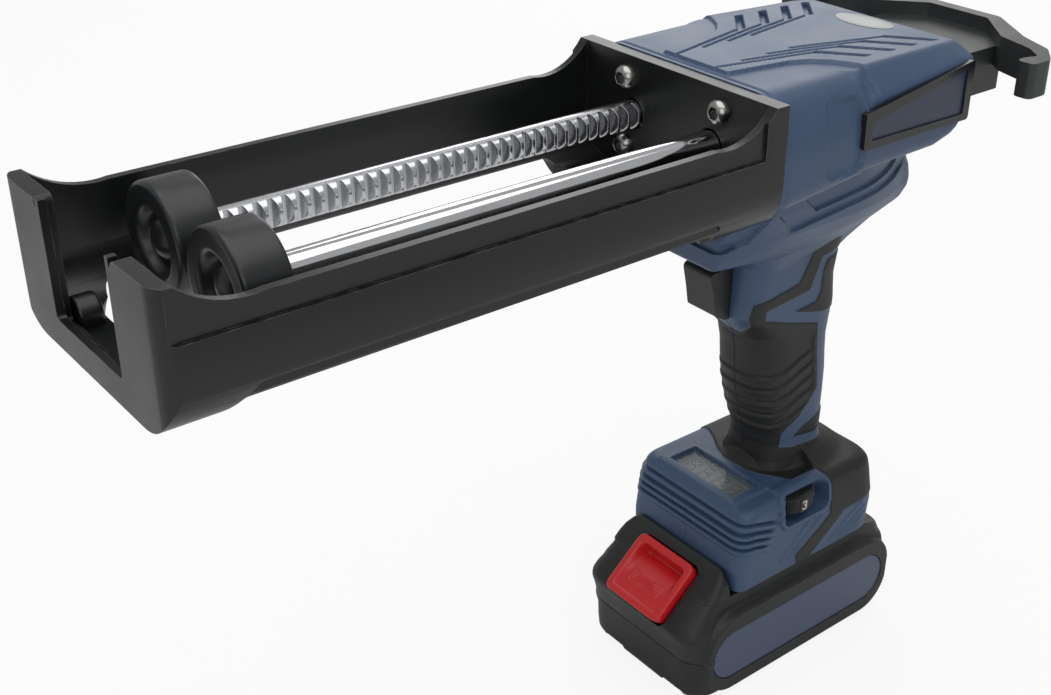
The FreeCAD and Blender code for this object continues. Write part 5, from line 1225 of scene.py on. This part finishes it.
@dataclass
class Battery:
    """Slide-on battery: rounded case with proud flanks, sloping nose, deck with rails, red latch."""

    split: float = 22
    deck: float = 49.6
    tail: float = -62
    nose_rear: float = 39.3
    flank: float = 37.5
    inset: float = 36.2
    pocket: float = 13.4
    clearance: float = 0.7
    seam: float = 0.55
    foot: float = 5
    rear_drop: float = 4.5
    latch_wide: float = 17
    latch_long: float = 14.6
    latch_deep: float = 8.6
    latch_rib: float = 0.4
    middle: tuple[float, float, float] = (57.481, 0, 49.147)
    down: tuple[float, float, float] = (0.75461, 0, -0.65618)
    out: tuple[float, float, float] = (0.65618, 0, 0.75461)

    def build(self) -> None:
        """Make both cases, the deck's rails, thin dark strips as painted shade for its slots, and the latch."""
        lower = np.linspace(0, self.split - 0.1, 56)
        self.case("pack_lower_case", lower, np.full_like(lower, self.tail), "battery_case_lower")
        wall = np.linspace(self.split + 0.1, self.deck, 70)
        nose = np.concatenate([[self.deck], np.linspace(self.deck + 0.2, 60, 44)])
        rear = np.concatenate([np.full_like(wall, self.tail), np.full_like(nose, self.nose_rear)])
        self.case("pack_upper_case", np.concatenate([wall, nose]), rear, "battery_case_upper")
        rails = [((-44, y - 2.5, 49), (36, y + 2.5, 54)) for y in (-24, 24)]
        boxes("pack_rails", rails, Finish.BATTERY, "battery", ["battery_case_upper"])
        # Thin dark strips on the deck: painted shade for the inside of the slot openings.
        slots = [((-45, y - 1.2, 49), (15, y + 1.2, self.deck + 0.05)) for y in (-11, 0, 11)]
        boxes("pack_slots", slots, Finish.CRADLE, "battery", ["battery_case_upper"])
        self.latch()

    def case(self, name: str, z: Array, rear: Array, node: str) -> None:
        """Make one case half: core outline, seam, flanks, label inset, latch pocket and feet.

        Args:
            name: the piece's name.
            z: heights of its outlines.
            rear: where each outline ends at the back.
            node: the CAD node that it stands for.
        """
        tuck = along(z, (0, 5), (1.4, 2), (5, 0.4), (14, 0), (40, 0), (46, 1), (48.6, 2.4), (49.6, 4))
        rear = rear + np.where(rear < 0, tuck, 0)
        front = along(z, (0, 56), (1.4, 59), (5, 60.8), (14, 61.2), (22, 61.8), (31, 64.2), (35, 65.6), (37, 65.6),
                      (39.5, 63.9), (45, 58), (55, 46.4), (58, 43), (59.4, 41.2), (60, 39.8))
        half = along(z, (0, 31.5), (1.2, 33.8), (4, 35.2), (10, 35.8), (34, 35.8), (38, 34.8), (43, 33),
                     (49.6, 32.2), (52, 31.8), (55, 30.8), (58, 28.6), (59.4, 26.6), (60, 25))
        bow = along(z, (0, 13), (36, 13), (45, 11), (60, 10))
        corner = np.where(rear > 0, 2, 9)
        rings = stacked(z, oblong(rear, half, front), (corner, bow), (30, 170, 44), 20)
        x, y, height = axes_of(rings)
        y = np.abs(y)
        panel = rounded_distance(x, height, (-2.2, 22.6), (59.2, 20.4), 17)
        label = rounded_distance(x, height, (-2, 22), (54.2, 12.2), 11.9)
        on_side = smooth(-0.3, 1.5, panel) * (y > 12)
        seam = self.seam * trench(np.abs(height - self.split), 0.12, 0.4) * (1 - on_side)
        foot = self.foot * smooth(0, 0.5, 4.2 - height) * smooth(0, 1.2, 6.5 - np.abs(y - 19)) * smooth(45, 50, x)
        rings = rings - outward(rings) * (seam + foot)[..., None]
        target = self.flank - (self.flank - self.inset) * smooth(-0.25, 0.1, label)
        raised = y + (target - y) * on_side
        rings[..., 1] = np.sign(rings[..., 1]) * np.where(on_side > 0, raised, np.abs(rings[..., 1]))
        rings[..., 2] -= self.rear_drop * smooth(-46, -61, x) * smooth(36, 47, height)
        slide = (rings - np.array(self.middle)) @ np.array(self.down)
        opening = (self.latch_long + self.clearance, self.latch_wide + self.clearance)
        sunk = rounded_distance(slide, rings[..., 1], (0, 0), opening, 4)
        cut = self.pocket * smooth(-0.05, 0.25, sunk) * (height > 36) * (x > 41)
        rings = rings - np.array(self.out) * cut[..., None]
        closed_skin(name, rings, Finish.BATTERY, "battery", [node], 38)

    def latch(self) -> None:
        """Make the latch: rounded rim, finger pocket that is deepest at the top, U-shaped ribs."""
        rim = [1, 0, 0.3, 0.9, 2.6, 3.1, 3.6]
        inset = np.concatenate([rim, np.linspace(3.9, 6.6, 12), np.linspace(6.9, 14, 48)])
        depth = along(inset, (0, 0.2), (0.3, 0.7), (0.9, 0.95), (2.6, 0.95), (3.1, 0.7), (3.6, 0.1), (5.2, -5.8),
                      (6.2, -6.8), (14, -7))
        depth[0] = -self.latch_deep
        rounds = np.maximum(4 - 0.45 * inset, 0.5)
        plan = oblong(inset - self.latch_long, self.latch_wide - inset, self.latch_long - inset)
        rings = stacked(depth, plan, (rounds, rounds), (24, 44, 24), 8)
        slide, across, height = axes_of(rings)
        share = np.clip((10.5 - slide) / 19.5, 0.25, 1) ** 2.6
        inner = (inset > 3.2)[:, None]
        height = np.where(inner & (height < 0.1), 0.1 + (height - 0.1) * share, height)
        ribs = sum(trench(np.abs(inset - line), 0.2, 0.5) for line in (8.4, 9.8, 11.2, 12.6))
        height = height + self.latch_rib * ribs[:, None] * smooth(-0.6, 1.4, slide)
        place = (np.array(self.middle) + slide[..., None] * np.array(self.down)
                 + height[..., None] * np.array(self.out))
        place[..., 1] = across
        closed_skin("red_latch", place, Finish.LATCH, "latch", ["battery_latch"], 50)


def dress_nodes() -> None:
    """Give every CAD node its slot's finish."""
    slots = {row["node"]: row["material_slot"] for row in frame["record"]["subparts"]}
    for name, piece in frame["nodes"].items():
        piece.data.materials.clear()
        piece.data.materials.append(finish_of(slots[name]).material())


def main() -> None:
    """Build every sub-assembly in order."""
    logging.basicConfig(level=logging.INFO)
    bpy.context.scene.view_settings.view_transform = "Standard"
    dress_nodes()
    parts = (Studio(), Cradle(), PushRods(), UpperBody(), Belly(), Grip(), Foot(), Controls(), Battery())
    for part in parts:
        part.build()
    side_screws()


if __name__ == "__main__":
    main()
